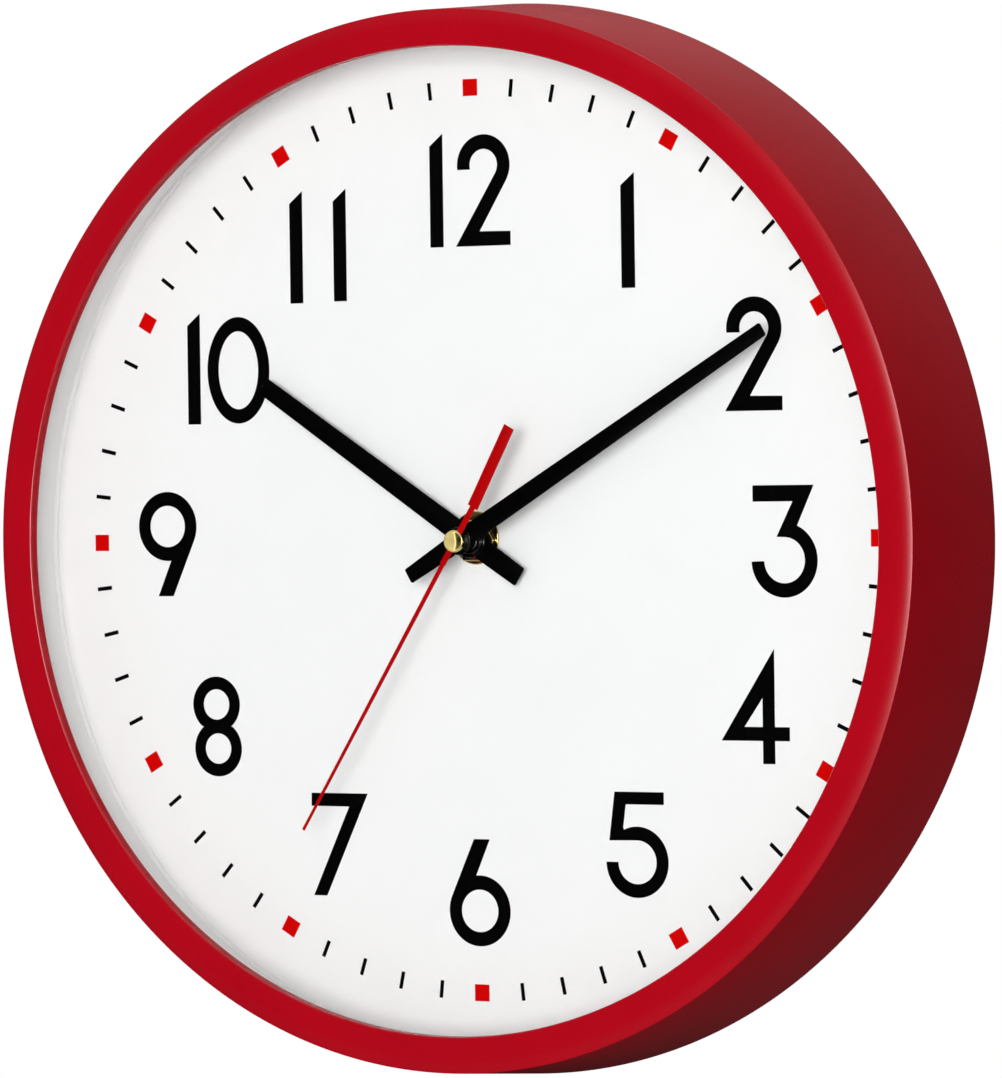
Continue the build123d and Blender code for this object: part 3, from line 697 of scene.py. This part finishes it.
def mark_tree(name):
    """Geometry tree that sets a flat mark at every minute, or at those whose number it is told."""
    tree = bpy.data.node_groups.new(name, "GeometryNodeTree")
    tree.is_modifier = True
    face = tree.interface
    face.new_socket("Geometry", in_out="OUTPUT", socket_type="NodeSocketGeometry")
    for label, kind in (
        ("Count", "NodeSocketInt"),
        ("Step", "NodeSocketInt"),
        ("At steps", "NodeSocketBool"),
        ("Circle", "NodeSocketFloat"),
        ("Depth", "NodeSocketFloat"),
        ("Size", "NodeSocketVector"),
        ("Material", "NodeSocketMaterial"),
    ):
        face.new_socket(label, in_out="INPUT", socket_type=kind)
    nodes = tree.nodes
    link = tree.links.new
    entry = nodes.new("NodeGroupInput")
    leave = nodes.new("NodeGroupOutput")
    index = nodes.new("GeometryNodeInputIndex").outputs[0]
    bearing = math_node(tree, "MULTIPLY", index, math_node(tree, "DIVIDE", full_turn, entry.outputs["Count"]))
    across = math_node(tree, "MULTIPLY", math_node(tree, "SINE", bearing), entry.outputs["Circle"])
    above = math_node(tree, "MULTIPLY", math_node(tree, "COSINE", bearing), entry.outputs["Circle"])
    place = nodes.new("ShaderNodeCombineXYZ")
    link(across, place.inputs["X"])
    link(entry.outputs["Depth"], place.inputs["Y"])
    link(above, place.inputs["Z"])
    points = nodes.new("GeometryNodePoints")
    link(entry.outputs["Count"], points.inputs["Count"])
    link(place.outputs[0], points.inputs["Position"])
    beyond = math_node(tree, "MODULO", index, entry.outputs["Step"])
    on_step = nodes.new("FunctionNodeCompare")
    on_step.operation = "LESS_THAN"
    link(beyond, on_step.inputs["A"])
    on_step.inputs["B"].default_value = 0.5
    wanted = nodes.new("FunctionNodeBooleanMath")
    wanted.operation = "XNOR"
    link(on_step.outputs[0], wanted.inputs[0])
    link(entry.outputs["At steps"], wanted.inputs[1])
    turn = nodes.new("FunctionNodeAxisAngleToRotation")
    turn.inputs["Axis"].default_value = (0.0, 1.0, 0.0)
    link(bearing, turn.inputs["Angle"])
    mark = nodes.new("GeometryNodeMeshCube")
    link(entry.outputs["Size"], mark.inputs["Size"])
    spread = nodes.new("GeometryNodeInstanceOnPoints")
    link(points.outputs[0], spread.inputs["Points"])
    link(wanted.outputs[0], spread.inputs["Selection"])
    link(mark.outputs["Mesh"], spread.inputs["Instance"])
    link(turn.outputs[0], spread.inputs["Rotation"])
    real = nodes.new("GeometryNodeRealizeInstances")
    link(spread.outputs[0], real.inputs[0])
    coat = nodes.new("GeometryNodeSetMaterial")
    link(real.outputs[0], coat.inputs["Geometry"])
    link(entry.outputs["Material"], coat.inputs["Material"])
    link(coat.outputs[0], leave.inputs[0])
    return tree


def grown(name, tree, values):
    """Plain mesh that a geometry tree makes with these inputs."""
    carrier = bpy.data.objects.new(name + "_carrier", bpy.data.meshes.new(name + "_carrier"))
    bpy.context.scene.collection.objects.link(carrier)
    modifier = carrier.modifiers.new("Grow", "NODES")
    modifier.node_group = tree
    for socket in tree.interface.items_tree:
        if socket.item_type == "SOCKET" and socket.in_out == "INPUT" and socket.name in values:
            modifier[socket.identifier] = values[socket.name]
    return evaluated_mesh(name, carrier)


def ink_depths(ink):
    """Front and rear depth of the print on the dial."""
    dial = front_of("dial_plate")
    return dial - ink.thickness, dial + ink.sink


class CLOCK_OT_marks(bpy.types.Operator):
    """Black minute ticks and red hour squares printed around the dial"""

    bl_idname = "clock.marks"
    bl_label = "Minute marks"
    bl_options = {"REGISTER", "UNDO"}

    def execute(self, context):
        ink = context.scene.wall_clock.ink
        front, rear = ink_depths(ink)
        tree = mark_tree("Ring of marks")
        for name, at_steps, width, height, material in (
            ("minute_ticks", False, ink.tick_width, ink.tick_length, black_ink(ink)),
            ("hour_squares", True, ink.square, ink.square, red_ink(ink)),
        ):
            mesh = grown(name, tree, {
                "Count": minutes,
                "Step": minutes // hours,
                "At steps": at_steps,
                "Circle": ink.circle,
                "Depth": (front + rear) / 2,
                "Size": (width, rear - front, height),
                "Material": material,
            })
            finished(name, mesh, material, "case")
        return {"FINISHED"}


def black_ink(ink):
    """Black printing ink."""
    return moulded("black_ink", ink.black, grain=0.2 * mm, rough=0.5, depth=0.002 * mm, shade=0.7,
                   Specular_IOR_Level=0.03)


def red_ink(ink):
    """Red printing ink."""
    return moulded("red_ink", ink.red, grain=0.2 * mm, rough=0.5, depth=0.002 * mm, shade=0.93,
                   Specular_IOR_Level=0.03)


# Numerals, drawn in millimetres about a point of their own

def arc(centre, radius, start, end, across=1.0):
    """Points of an arc from one angle to another in degrees, counter-clockwise from the right."""
    steps = max(8, int(abs(end - start) / 5))
    points = []
    for step in range(steps + 1):
        turn = radians(start + (end - start) * step / steps)
        points.append((centre[0] + radius * across * cos(turn), centre[1] + radius * sin(turn)))
    return points


def tangent_angle(centre, radius, point, side):
    """Angle in degrees at which a line from a point touches a circle, on its left or right side."""
    away_x = point[0] - centre[0]
    away_z = point[1] - centre[1]
    half = acos(radius / hypot(away_x, away_z))
    return (atan2(away_z, away_x) + side * half) * 180 / pi


def figure_one():
    """Plain stroke with a slanted top."""
    half = 2.27
    return [[(-half, -16.7), (half, -16.7), (half, 16.7), (-half, 13.05)]]


def figure_two():
    """Open bowl, straight neck and flat foot."""
    bowl = (0.0, 7.1)
    outer, inner, terminal = 9.0, 4.7, -1.2
    tip, foot_right, foot_top, junction = (-9.7, -16.6), 9.0, -12.45, (-1.5, -12.3)
    outer_start = 180 - asin_degrees(terminal / outer)
    inner_end = 180 - asin_degrees(terminal / inner)
    outline = arc(bowl, outer, outer_start, tangent_angle(bowl, outer, junction, 1))
    outline += [junction, (foot_right, foot_top), (foot_right, tip[1]), tip]
    outline += arc(bowl, inner, tangent_angle(bowl, inner, tip, 1), inner_end)
    return [outline]


def asin_degrees(share):
    """Angle in degrees whose sine is this share."""
    return 90 - acos(share) * 180 / pi


def figure_three():
    """Flat top, straight neck and round bowl."""
    bowl = (0.0, -5.4)
    outer, inner = 10.7, 6.6
    outline = [(-10.1, 16.05), (9.7, 16.05)]
    outline += arc(bowl, outer, 67, -178)
    outline += arc(bowl, inner, -178, 90)
    outline += [(-2.5, 1.27), (2.8, 11.4), (-10.1, 11.4)]
    return [outline]


def figure_four():
    """Sharp triangle with a stem and a crossbar."""
    stem_left, stem_right, bottom = 2.35, 6.3, -16.5
    bar_top, bar_bottom, bar_right = -5.9, -9.9, 11.1
    outline = [
        (stem_right, 16.5),
        (-11.15, bar_bottom),
        (stem_left, bar_bottom),
        (stem_left, bottom),
        (stem_right, bottom),
        (stem_right, bar_bottom),
        (bar_right, bar_bottom),
        (bar_right, bar_top),
        (stem_right, bar_top),
    ]
    counter = [(stem_left, 2.4), (-3.6, bar_top), (stem_left, bar_top)]
    return [outline, counter]


def figure_five():
    """Short bar, leaning stem and round bowl."""
    bowl = (0.0, -5.0)
    outer, inner = 10.35, 6.35
    shoulder = (-9.3, 1.2)
    outline = [(-7.4, 15.4), shoulder]
    outline += arc(bowl, inner, tangent_angle(bowl, inner, shoulder, -1), -180)
    outline += arc(bowl, outer, -180, 115)
    outline += [(-4.6, 5.1), (-3.7, 11.75), (9.0, 11.75), (9.0, 15.4)]
    return [outline]


def figure_six(half_turn=1):
    """Ring with a straight stem, and the nine when it is turned by half a turn."""
    ring = (0.0, -5.3)
    outer, inner = 10.45, 6.25
    stem_left, stem_right, junction = (-1.8, 15.8), (3.6, 15.8), 96.3
    outline = [stem_left]
    outline += arc(ring, outer, tangent_angle(ring, outer, stem_left, 1), 360 + junction)
    outline += [stem_right]
    counter = arc(ring, inner, 0, 355)
    return [[(half_turn * x, half_turn * z) for x, z in contour] for contour in (outline, counter)]


def figure_nine():
    """The six turned by half a turn."""
    return figure_six(-1)


def figure_seven():
    """Flat bar and straight leg."""
    return [[(-9.9, 15.3), (-9.9, 11.4), (3.3, 11.35), (-9.45, -15.3), (-4.8, -15.3), (9.9, 15.3)]]


def figure_eight():
    """Two rings that run into each other."""
    outer, inner, apart = 8.4, 4.57, 6.65
    upper, lower = (-0.25, apart), (0.25, -apart)
    waist = asin_degrees(apart / outer)
    outline = arc(upper, outer, -waist, 180 + waist) + arc(lower, outer, 180 - waist, 360 + waist)
    return [outline, arc(upper, inner, 0, 355), arc(lower, inner, 0, 355)]


def figure_zero():
    """Upright oval ring."""
    oval = (0.0, 0.0)
    return [arc(oval, 16.0, 0, 355, 11.1 / 16.0), arc(oval, 11.7, 0, 355, 7.1 / 11.7)]


# Figures of each hour and where their own middles lie on the dial, right and up in millimetres
numerals = {
    12: ((figure_one, -12.02, 103.1), (figure_two, 4.2, 103.0)),
    1: ((figure_one, 52.65, 89.5),),
    2: ((figure_two, 93.7, 53.2),),
    3: ((figure_three, 102.7, -0.8),),
    4: ((figure_four, 92.6, -48.0),),
    5: ((figure_five, 53.1, -88.5),),
    6: ((figure_six, -0.35, -103.6),),
    7: ((figure_seven, -48.7, -90.3),),
    8: ((figure_eight, -91.9, -55.55),),
    9: ((figure_nine, -108.95, -0.45),),
    10: ((figure_one, -98.55, 52.25), (figure_zero, -82.6, 51.6)),
    11: ((figure_one, -61.35, 87.85), (figure_one, -45.95, 88.1)),
}


class CLOCK_OT_numerals(bpy.types.Operator):
    """Twelve geometric numerals printed on the dial"""

    bl_idname = "clock.numerals"
    bl_label = "Numerals"
    bl_options = {"REGISTER", "UNDO"}

    def execute(self, context):
        ink = context.scene.wall_clock.ink
        front, rear = ink_depths(ink)
        material = black_ink(ink)
        for hour, figures in numerals.items():
            joined = bmesh.new()
            for figure, right, up in figures:
                contours = [[((x + right) * mm, (z + up) * mm) for x, z in c] for c in figure()]
                part = plate("figure", contours, front, rear)
                joined.from_mesh(part)
                bpy.data.meshes.remove(part)
            mesh = bpy.data.meshes.new(f"numeral_{hour}")
            joined.to_mesh(mesh)
            joined.free()
            finished(f"numeral_{hour}", mesh, material, "case")
        return {"FINISHED"}


# Hands and hub

class CLOCK_OT_hands(bpy.types.Operator):
    """Stamped hour, minute and second hands with softened edges"""

    bl_idname = "clock.hands"
    bl_label = "Hands"
    bl_options = {"REGISTER", "UNDO"}

    def execute(self, context):
        hub = context.scene.wall_clock.hub
        lacquer = moulded("black_lacquer", (0.0007, 0.0007, 0.0008), grain=0.2 * mm, rough=0.45,
                          depth=0.004 * mm, shade=0.8, Specular_IOR_Level=0.03)
        red_lacquer = moulded("red_lacquer", hub.red, grain=0.2 * mm, rough=0.4, depth=0.004 * mm,
                              shade=0.85, Specular_IOR_Level=0.05)
        for node, body, material, slot in (
            ("hour_hand", "hour_hand_set", lacquer, "black_blade"),
            ("minute_hand", "minute_hand_set", lacquer, "black_blade"),
            ("second_hand", "second_hand_set", red_lacquer, "red_blade"),
        ):
            mesh = eased(node, hub.blade_edge)
            finished(node + "_blade", mesh, material, body, [node])
        return {"FINISHED"}


class CLOCK_OT_hub(bpy.types.Operator):
    """Brass cap, washer, nut and bushing, and the glossy collets of the hands"""

    bl_idname = "clock.hub"
    bl_label = "Hub"
    bl_options = {"REGISTER", "UNDO"}

    def execute(self, context):
        hub = context.scene.wall_clock.hub
        brass = turned_finish("turned_brass", hub.brass)
        self.cap(hub, brass)
        edges = {"brass_washer": 0.12 * mm, "hex_nut": 0.15 * mm, "threaded_bushing": 0.1 * mm}
        for node, edge in edges.items():
            finished(node + "_turned", eased(node, edge, 3), brass, "case", [node])
        gloss = turned_finish("black_gloss", (0.001, 0.001, 0.001), rough=0.1, metallic=0.0,
                              Specular_IOR_Level=0.6)
        for node, body in (("minute_hand_collet", "minute_hand_set"), ("hour_hand_collet", "hour_hand_set")):
            finished(node + "_turned", eased(node, 0.22 * mm, 4), gloss, body, [node])
        rubber = moulded("black_rubber_skin", (0.012, 0.012, 0.012), grain=0.15 * mm, rough=0.8)
        finished("rubber_washer_soft", eased("rubber_washer", 0.15 * mm, 3), rubber, "case",
                 ["rubber_washer"])
        return {"FINISHED"}

    def cap(self, hub, brass):
        """Turned cap with a dished front, a bright rim and the rivet that holds the second hand."""
        radius = radii_of("second_hand_cap")[1]
        front = front_of("second_hand_cap")
        rear = rear_of("second_hand_cap")
        shoulder = front_of("second_hand")
        rivet = max(radii_at("second_hand_cap", rear))
        edge = 0.3 * mm
        rim = radius - edge - 0.15 * mm
        steps = 10
        ball = (rim * rim + hub.dish * hub.dish) / (2 * hub.dish)
        outline = []
        for step in range(steps + 1):
            out = rim * step / steps
            sag = hub.dish - (ball - (ball * ball - out * out) ** 0.5)
            outline.append((out, front + sag))
        outline += [(radius - edge, front)]
        for step in range(1, steps + 1):
            turn = pi / 2 * step / steps
            outline.append((radius - edge * (1 - sin(turn)), front + edge * (1 - cos(turn))))
        outline += [(radius, shoulder - edge / 3), (radius - edge / 3, shoulder), (rivet, shoulder)]
        outline += [(rivet, rear), (0, rear)]
        mesh = spun_solid("second_hand_cap_turned", outline, 96)
        finished("second_hand_cap_turned", mesh, brass, "second_hand_set", ["second_hand_cap"])


# Back

class CLOCK_OT_back(bpy.types.Operator):
    """Black back cover and the screws that hold it"""

    bl_idname = "clock.back"
    bl_label = "Back cover and screws"
    bl_options = {"REGISTER", "UNDO"}

    def execute(self, context):
        black = context.scene.wall_clock.case.black
        cover = moulded("black_cover_moulding", black, grain=0.6 * mm, rough=0.55, depth=0.05 * mm, shade=0.7)
        paint("back_cover", cover)
        steel = rolled("screw_steel_plate", (0.55, 0.55, 0.56), rough=0.25)
        paint("back_cover_screws", steel)
        return {"FINISHED"}


class CLOCK_OT_movement(bpy.types.Operator):
    """Black movement housing, its cover and the setting knob"""

    bl_idname = "clock.movement"
    bl_label = "Movement housing"
    bl_options = {"REGISTER", "UNDO"}

    def execute(self, context):
        black = context.scene.wall_clock.case.black
        housing = moulded("movement_moulding", shaded(black, 1.4), grain=0.35 * mm, rough=0.32,
                          depth=0.02 * mm, shade=0.75)
        paint("movement_case", housing)
        paint("movement_cover", housing)
        paint("setting_knob", housing)
        return {"FINISHED"}


class CLOCK_OT_gears(bpy.types.Operator):
    """Moulded wheels and the middle plate of the movement"""

    bl_idname = "clock.gears"
    bl_label = "Gear train"
    bl_options = {"REGISTER", "UNDO"}

    def execute(self, context):
        white = moulded("white_acetal", (0.78, 0.78, 0.74), grain=0.2 * mm, rough=0.4)
        tint = moulded("tinted_acetal", (0.75, 0.62, 0.42), grain=0.2 * mm, rough=0.4)
        for node in ("middle_plate", "hour_wheel", "minute_arbor", "minute_wheel"):
            paint(node, white)
        for node in ("intermediate_wheel", "rotor"):
            paint(node, white)
        for node in ("centre_wheel", "third_wheel", "seconds_wheel"):
            paint(node, tint)
        return {"FINISHED"}


class CLOCK_OT_motor(bpy.types.Operator):
    """Stator, coil, circuit board and contacts"""

    bl_idname = "clock.motor"
    bl_label = "Motor and circuit"
    bl_options = {"REGISTER", "UNDO"}

    def execute(self, context):
        steel = rolled("stator_plate", (0.5, 0.5, 0.52))
        for node in ("stator", "coil_core"):
            paint(node, steel)
        paint("coil_bobbin", moulded("bobbin_resin", (0.05, 0.04, 0.035), grain=0.2 * mm))
        # The Shade colour here is painted shade in the grooves between the wire's turns.
        copper = {"Color": (0.62, 0.2, 0.09), "Shade": (0.25, 0.06, 0.02), "Wire": 0.12 * mm}
        turns = finish_of("copper_turns_groove_shade", "Wound wire", copper, (0.6, 0.05 * mm), Metallic=0.8)
        paint("coil_winding", turns)
        board = moulded("board_lacquer", (0.01, 0.12, 0.05), grain=0.5 * mm, rough=0.3, shade=0.6)
        paint("circuit_board", board)
        paint("control_chip", moulded("chip_resin_blob", (0.01, 0.01, 0.01), grain=0.4 * mm, rough=0.3))
        paint("quartz_crystal", rolled("crystal_can_steel", (0.7, 0.7, 0.7), rough=0.2))
        spring = rolled("contact_nickel", (0.72, 0.7, 0.66), rough=0.22)
        for node in ("contact_positive", "contact_negative"):
            paint(node, spring)
        return {"FINISHED"}


class CLOCK_OT_battery(bpy.types.Operator):
    """Cylindrical cell with a printed sleeve"""

    bl_idname = "clock.battery"
    bl_label = "Battery"
    bl_options = {"REGISTER", "UNDO"}

    def execute(self, context):
        low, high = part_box("battery")
        material = rolled("battery_sleeve", (0.6, 0.6, 0.6), rough=0.28, metallic=0.0)
        tree = material.node_tree
        shader = tree.nodes["Principled BSDF"]
        surface = next(n for n in tree.nodes if n.type == "GROUP")
        place = next(n for n in tree.nodes if n.type == "TEX_COORD")
        parts = tree.nodes.new("ShaderNodeSeparateXYZ")
        tree.links.new(place.outputs["Object"], parts.inputs[0])
        along = math_node(tree, "SUBTRACT", parts.outputs["X"], low.x)
        share = math_node(tree, "DIVIDE", along, high.x - low.x)
        bands = tree.nodes.new("ShaderNodeValToRGB")
        bands.color_ramp.interpolation = "CONSTANT"
        steel = (0.62, 0.62, 0.62, 1.0)
        black = (0.012, 0.012, 0.014, 1.0)
        copper = (0.55, 0.26, 0.05, 1.0)
        stops = bands.color_ramp.elements
        stops[0].position = 0.0
        stops[0].color = steel
        stops[1].position = 0.03
        stops[1].color = black
        for position, tone in ((0.68, copper), (0.955, steel)):
            stop = stops.new(position)
            stop.color = tone
        tree.links.new(share, bands.inputs[0])
        streaked = tree.nodes.new("ShaderNodeMix")
        streaked.data_type = "RGBA"
        streaked.blend_type = "MULTIPLY"
        streaked.inputs[0].default_value = 0.5
        tree.links.new(bands.outputs[0], streaked.inputs[6])
        tree.links.new(surface.outputs["Color"], streaked.inputs[7])
        tree.links.new(streaked.outputs[2], shader.inputs["Base Color"])
        paint("battery", material)
        return {"FINISHED"}


# Stage

def look_matrix(place, forward, roll):
    """Placement of something at a place that looks along a direction."""
    right = forward.cross(Vector((0, 0, 1))).normalized()
    up = right.cross(forward).normalized()
    axes = Matrix((right, up, -forward)).transposed().to_4x4()
    return Matrix.Translation(place) @ axes @ Matrix.Rotation(roll, 4, "Z")


def bearing(azimuth, elevation):
    """Direction to the right of the dial's front and above level."""
    level = cos(elevation)
    return Vector((sin(azimuth) * level, -cos(azimuth) * level, sin(elevation)))


def soft_light(name, azimuth, elevation, distance, width, height, power, only=None):
    """Rectangular soft light that looks at the clock's middle, or a card that only some pieces mirror.

    Angles are in degrees, lengths in metres and power in watts.
    """
    place = bearing(radians(azimuth), radians(elevation)) * distance
    data = bpy.data.lights.new(name, "AREA")
    data.shape = "RECTANGLE"
    data.size = width
    data.size_y = height
    data.energy = power
    light = bpy.data.objects.new(name, data)
    light.matrix_world = look_matrix(place, -place.normalized(), 0)
    light.visible_camera = False
    bpy.context.scene.collection.objects.link(light)
    if only:
        light.visible_diffuse = False
        mirrors = bpy.data.collections.new(name + "_mirrors")
        for piece in only:
            mirrors.objects.link(bpy.data.objects[piece])
        light.light_linking.receiver_collection = mirrors
    return light


class CLOCK_OT_stage(bpy.types.Operator):
    """Pale floor, soft studio lights and the camera"""

    bl_idname = "clock.stage"
    bl_label = "Stage"
    bl_options = {"REGISTER", "UNDO"}

    def execute(self, context):
        stage = context.scene.wall_clock.stage
        self.floor(stage)
        self.surroundings()
        self.lights()
        self.camera(stage)
        view = bpy.context.scene.view_settings
        view.view_transform = "Standard"
        view.look = "None"
        return {"FINISHED"}

    def floor(self, stage):
        """Round pale floor with a thin edge."""
        top = -stage.floor_drop
        thickness = 10 * mm
        steps = 128
        ways = [full_turn * i / steps for i in range(steps)]
        rim = [(stage.floor_radius * cos(way), stage.floor_radius * sin(way)) for way in ways]
        vertices = [(x, y, top) for x, y in rim] + [(x, y, top - thickness) for x, y in rim]
        faces = [tuple(range(steps)), tuple(reversed(range(steps, 2 * steps)))]
        faces += [(i, i + steps, (i + 1) % steps + steps, (i + 1) % steps) for i in range(steps)]
        mesh = mesh_of("floor", vertices, faces)
        mesh.materials.append(moulded("pale_floor", (0.86, 0.86, 0.86), grain=4 * mm, rough=0.8,
                                      depth=0.2 * mm, shade=0.98, Specular_IOR_Level=0.1))
        floor = bpy.data.objects.new("floor", mesh)
        floor.visible_diffuse = False
        floor.visible_glossy = False
        bpy.context.scene.collection.objects.link(floor)

    def surroundings(self):
        """White backdrop, brightest in front of the clock, that is mirrored only dimly."""
        world = bpy.data.worlds.new("studio")
        world.use_nodes = True
        tree = world.node_tree
        tree.nodes.clear()
        path = tree.nodes.new("ShaderNodeLightPath")
        ways = tree.nodes.new("ShaderNodeTexCoord")
        parts = tree.nodes.new("ShaderNodeSeparateXYZ")
        tree.links.new(ways.outputs["Generated"], parts.inputs[0])
        soft_front, soft_all_round, soft_below = 0.68, 0.05, 0.2
        mirrored_above, mirrored_all_round, mirrored_behind = 0.68, 0.012, 0.25
        rightward_lean = 0.5
        frontal = math_node(tree, "MULTIPLY", parts.outputs["Y"], -1.0, clamp=True)
        below = math_node(tree, "MULTIPLY", parts.outputs["Z"], -soft_below, clamp=True)
        above = math_node(tree, "MULTIPLY", parts.outputs["Z"], 1.0, clamp=True)
        behind = math_node(tree, "MULTIPLY", parts.outputs["Y"], mirrored_behind, clamp=True)
        rightward = math_node(tree, "ADD", parts.outputs["X"], rightward_lean, clamp=True)
        behind = math_node(tree, "MULTIPLY", behind, rightward)
        frontal = math_node(tree, "MULTIPLY", frontal, frontal)
        frontal = math_node(tree, "MULTIPLY", frontal, soft_front)
        soft = math_node(tree, "ADD", frontal, soft_all_round)
        soft = math_node(tree, "ADD", soft, below)
        above = math_node(tree, "MULTIPLY", above, mirrored_above)
        mirrored = math_node(tree, "ADD", above, mirrored_all_round)
        mirrored = math_node(tree, "ADD", mirrored, behind)
        tones = {name: tree.nodes.new("ShaderNodeBackground") for name in ("seen", "soft", "mirrored")}
        tree.links.new(soft, tones["soft"].inputs["Strength"])
        tree.links.new(mirrored, tones["mirrored"].inputs["Strength"])
        for tone in tones.values():
            tone.inputs["Color"].default_value = (1.0, 1.0, 1.0, 1.0)
        glossy = tree.nodes.new("ShaderNodeMixShader")
        tree.links.new(path.outputs["Is Glossy Ray"], glossy.inputs[0])
        tree.links.new(tones["soft"].outputs[0], glossy.inputs[1])
        tree.links.new(tones["mirrored"].outputs[0], glossy.inputs[2])
        final = tree.nodes.new("ShaderNodeMixShader")
        tree.links.new(path.outputs["Is Camera Ray"], final.inputs[0])
        tree.links.new(glossy.outputs[0], final.inputs[1])
        tree.links.new(tones["seen"].outputs[0], final.inputs[2])
        output = tree.nodes.new("ShaderNodeOutputWorld")
        tree.links.new(final.outputs[0], output.inputs["Surface"])
        bpy.context.scene.world = world

    def lights(self):
        """Key light in front, weaker ones above and behind, and the mirrored cards."""
        soft_light("key_light", 18, 3, distance=3.0, width=1.4, height=1.5, power=67)
        soft_light("top_light", 170, 78, distance=2.4, width=1.3, height=1.3, power=24)
        rear_light = soft_light("rear_light", -150, 30, distance=2.6, width=1.2, height=1.2, power=60)
        rear_light.visible_glossy = False
        glossy = ["case_body", "minute_hand_collet_turned", "hour_hand_collet_turned"]
        soft_light("edge_card", 19, 3, distance=2.6, width=1.44, height=1.1, power=55, only=glossy)
        cap = ["second_hand_cap_turned"]
        soft_light("cap_card", -16, 0, distance=2.4, width=2.15, height=4.0, power=27, only=cap)
        soft_light("cap_strip", -40, 0, distance=2.4, width=0.16, height=3.6, power=4.8, only=cap)

    def camera(self, stage):
        """Long lens a little to the right of the dial's front."""
        place = bearing(stage.camera_azimuth, stage.camera_elevation) * stage.camera_distance
        forward = -bearing(stage.look_azimuth, stage.look_down)
        data = bpy.data.cameras.new("camera")
        data.lens = stage.lens
        data.clip_start = 0.05
        data.clip_end = 50.0
        camera = bpy.data.objects.new("camera", data)
        camera.matrix_world = look_matrix(place, forward, stage.roll)
        bpy.context.scene.collection.objects.link(camera)
        bpy.context.scene.camera = camera


class CLOCK_PT_panel(bpy.types.Panel):
    """Lists the steps that build the clock"""

    bl_idname = "CLOCK_PT_panel"
    bl_label = "Wall clock"
    bl_space_type = "VIEW_3D"
    bl_region_type = "UI"
    bl_category = "Wall clock"

    def draw(self, context):
        for step in steps_in_order:
            self.layout.operator(step.bl_idname)


steps_in_order = (
    CLOCK_OT_case,
    CLOCK_OT_window,
    CLOCK_OT_dial,
    CLOCK_OT_marks,
    CLOCK_OT_numerals,
    CLOCK_OT_hands,
    CLOCK_OT_hub,
    CLOCK_OT_back,
    CLOCK_OT_movement,
    CLOCK_OT_gears,
    CLOCK_OT_motor,
    CLOCK_OT_battery,
    CLOCK_OT_stage,
)
setting_groups = (CaseSettings, InkSettings, HubSettings, StageSettings, ClockSettings)


def register():
    for group in setting_groups:
        bpy.utils.register_class(group)
    bpy.types.Scene.wall_clock = PointerProperty(type=ClockSettings)
    for step in steps_in_order:
        bpy.utils.register_class(step)
    bpy.utils.register_class(CLOCK_PT_panel)


def unregister():
    bpy.utils.unregister_class(CLOCK_PT_panel)
    for step in reversed(steps_in_order):
        bpy.utils.unregister_class(step)
    del bpy.types.Scene.wall_clock
    for group in reversed(setting_groups):
        bpy.utils.unregister_class(group)


def main():
    """Build the clock and its stage."""
    register()
    for step in steps_in_order:
        family, name = step.bl_idname.split(".")
        getattr(getattr(bpy.ops, family), name)()


if __name__ == "__main__":
    main()
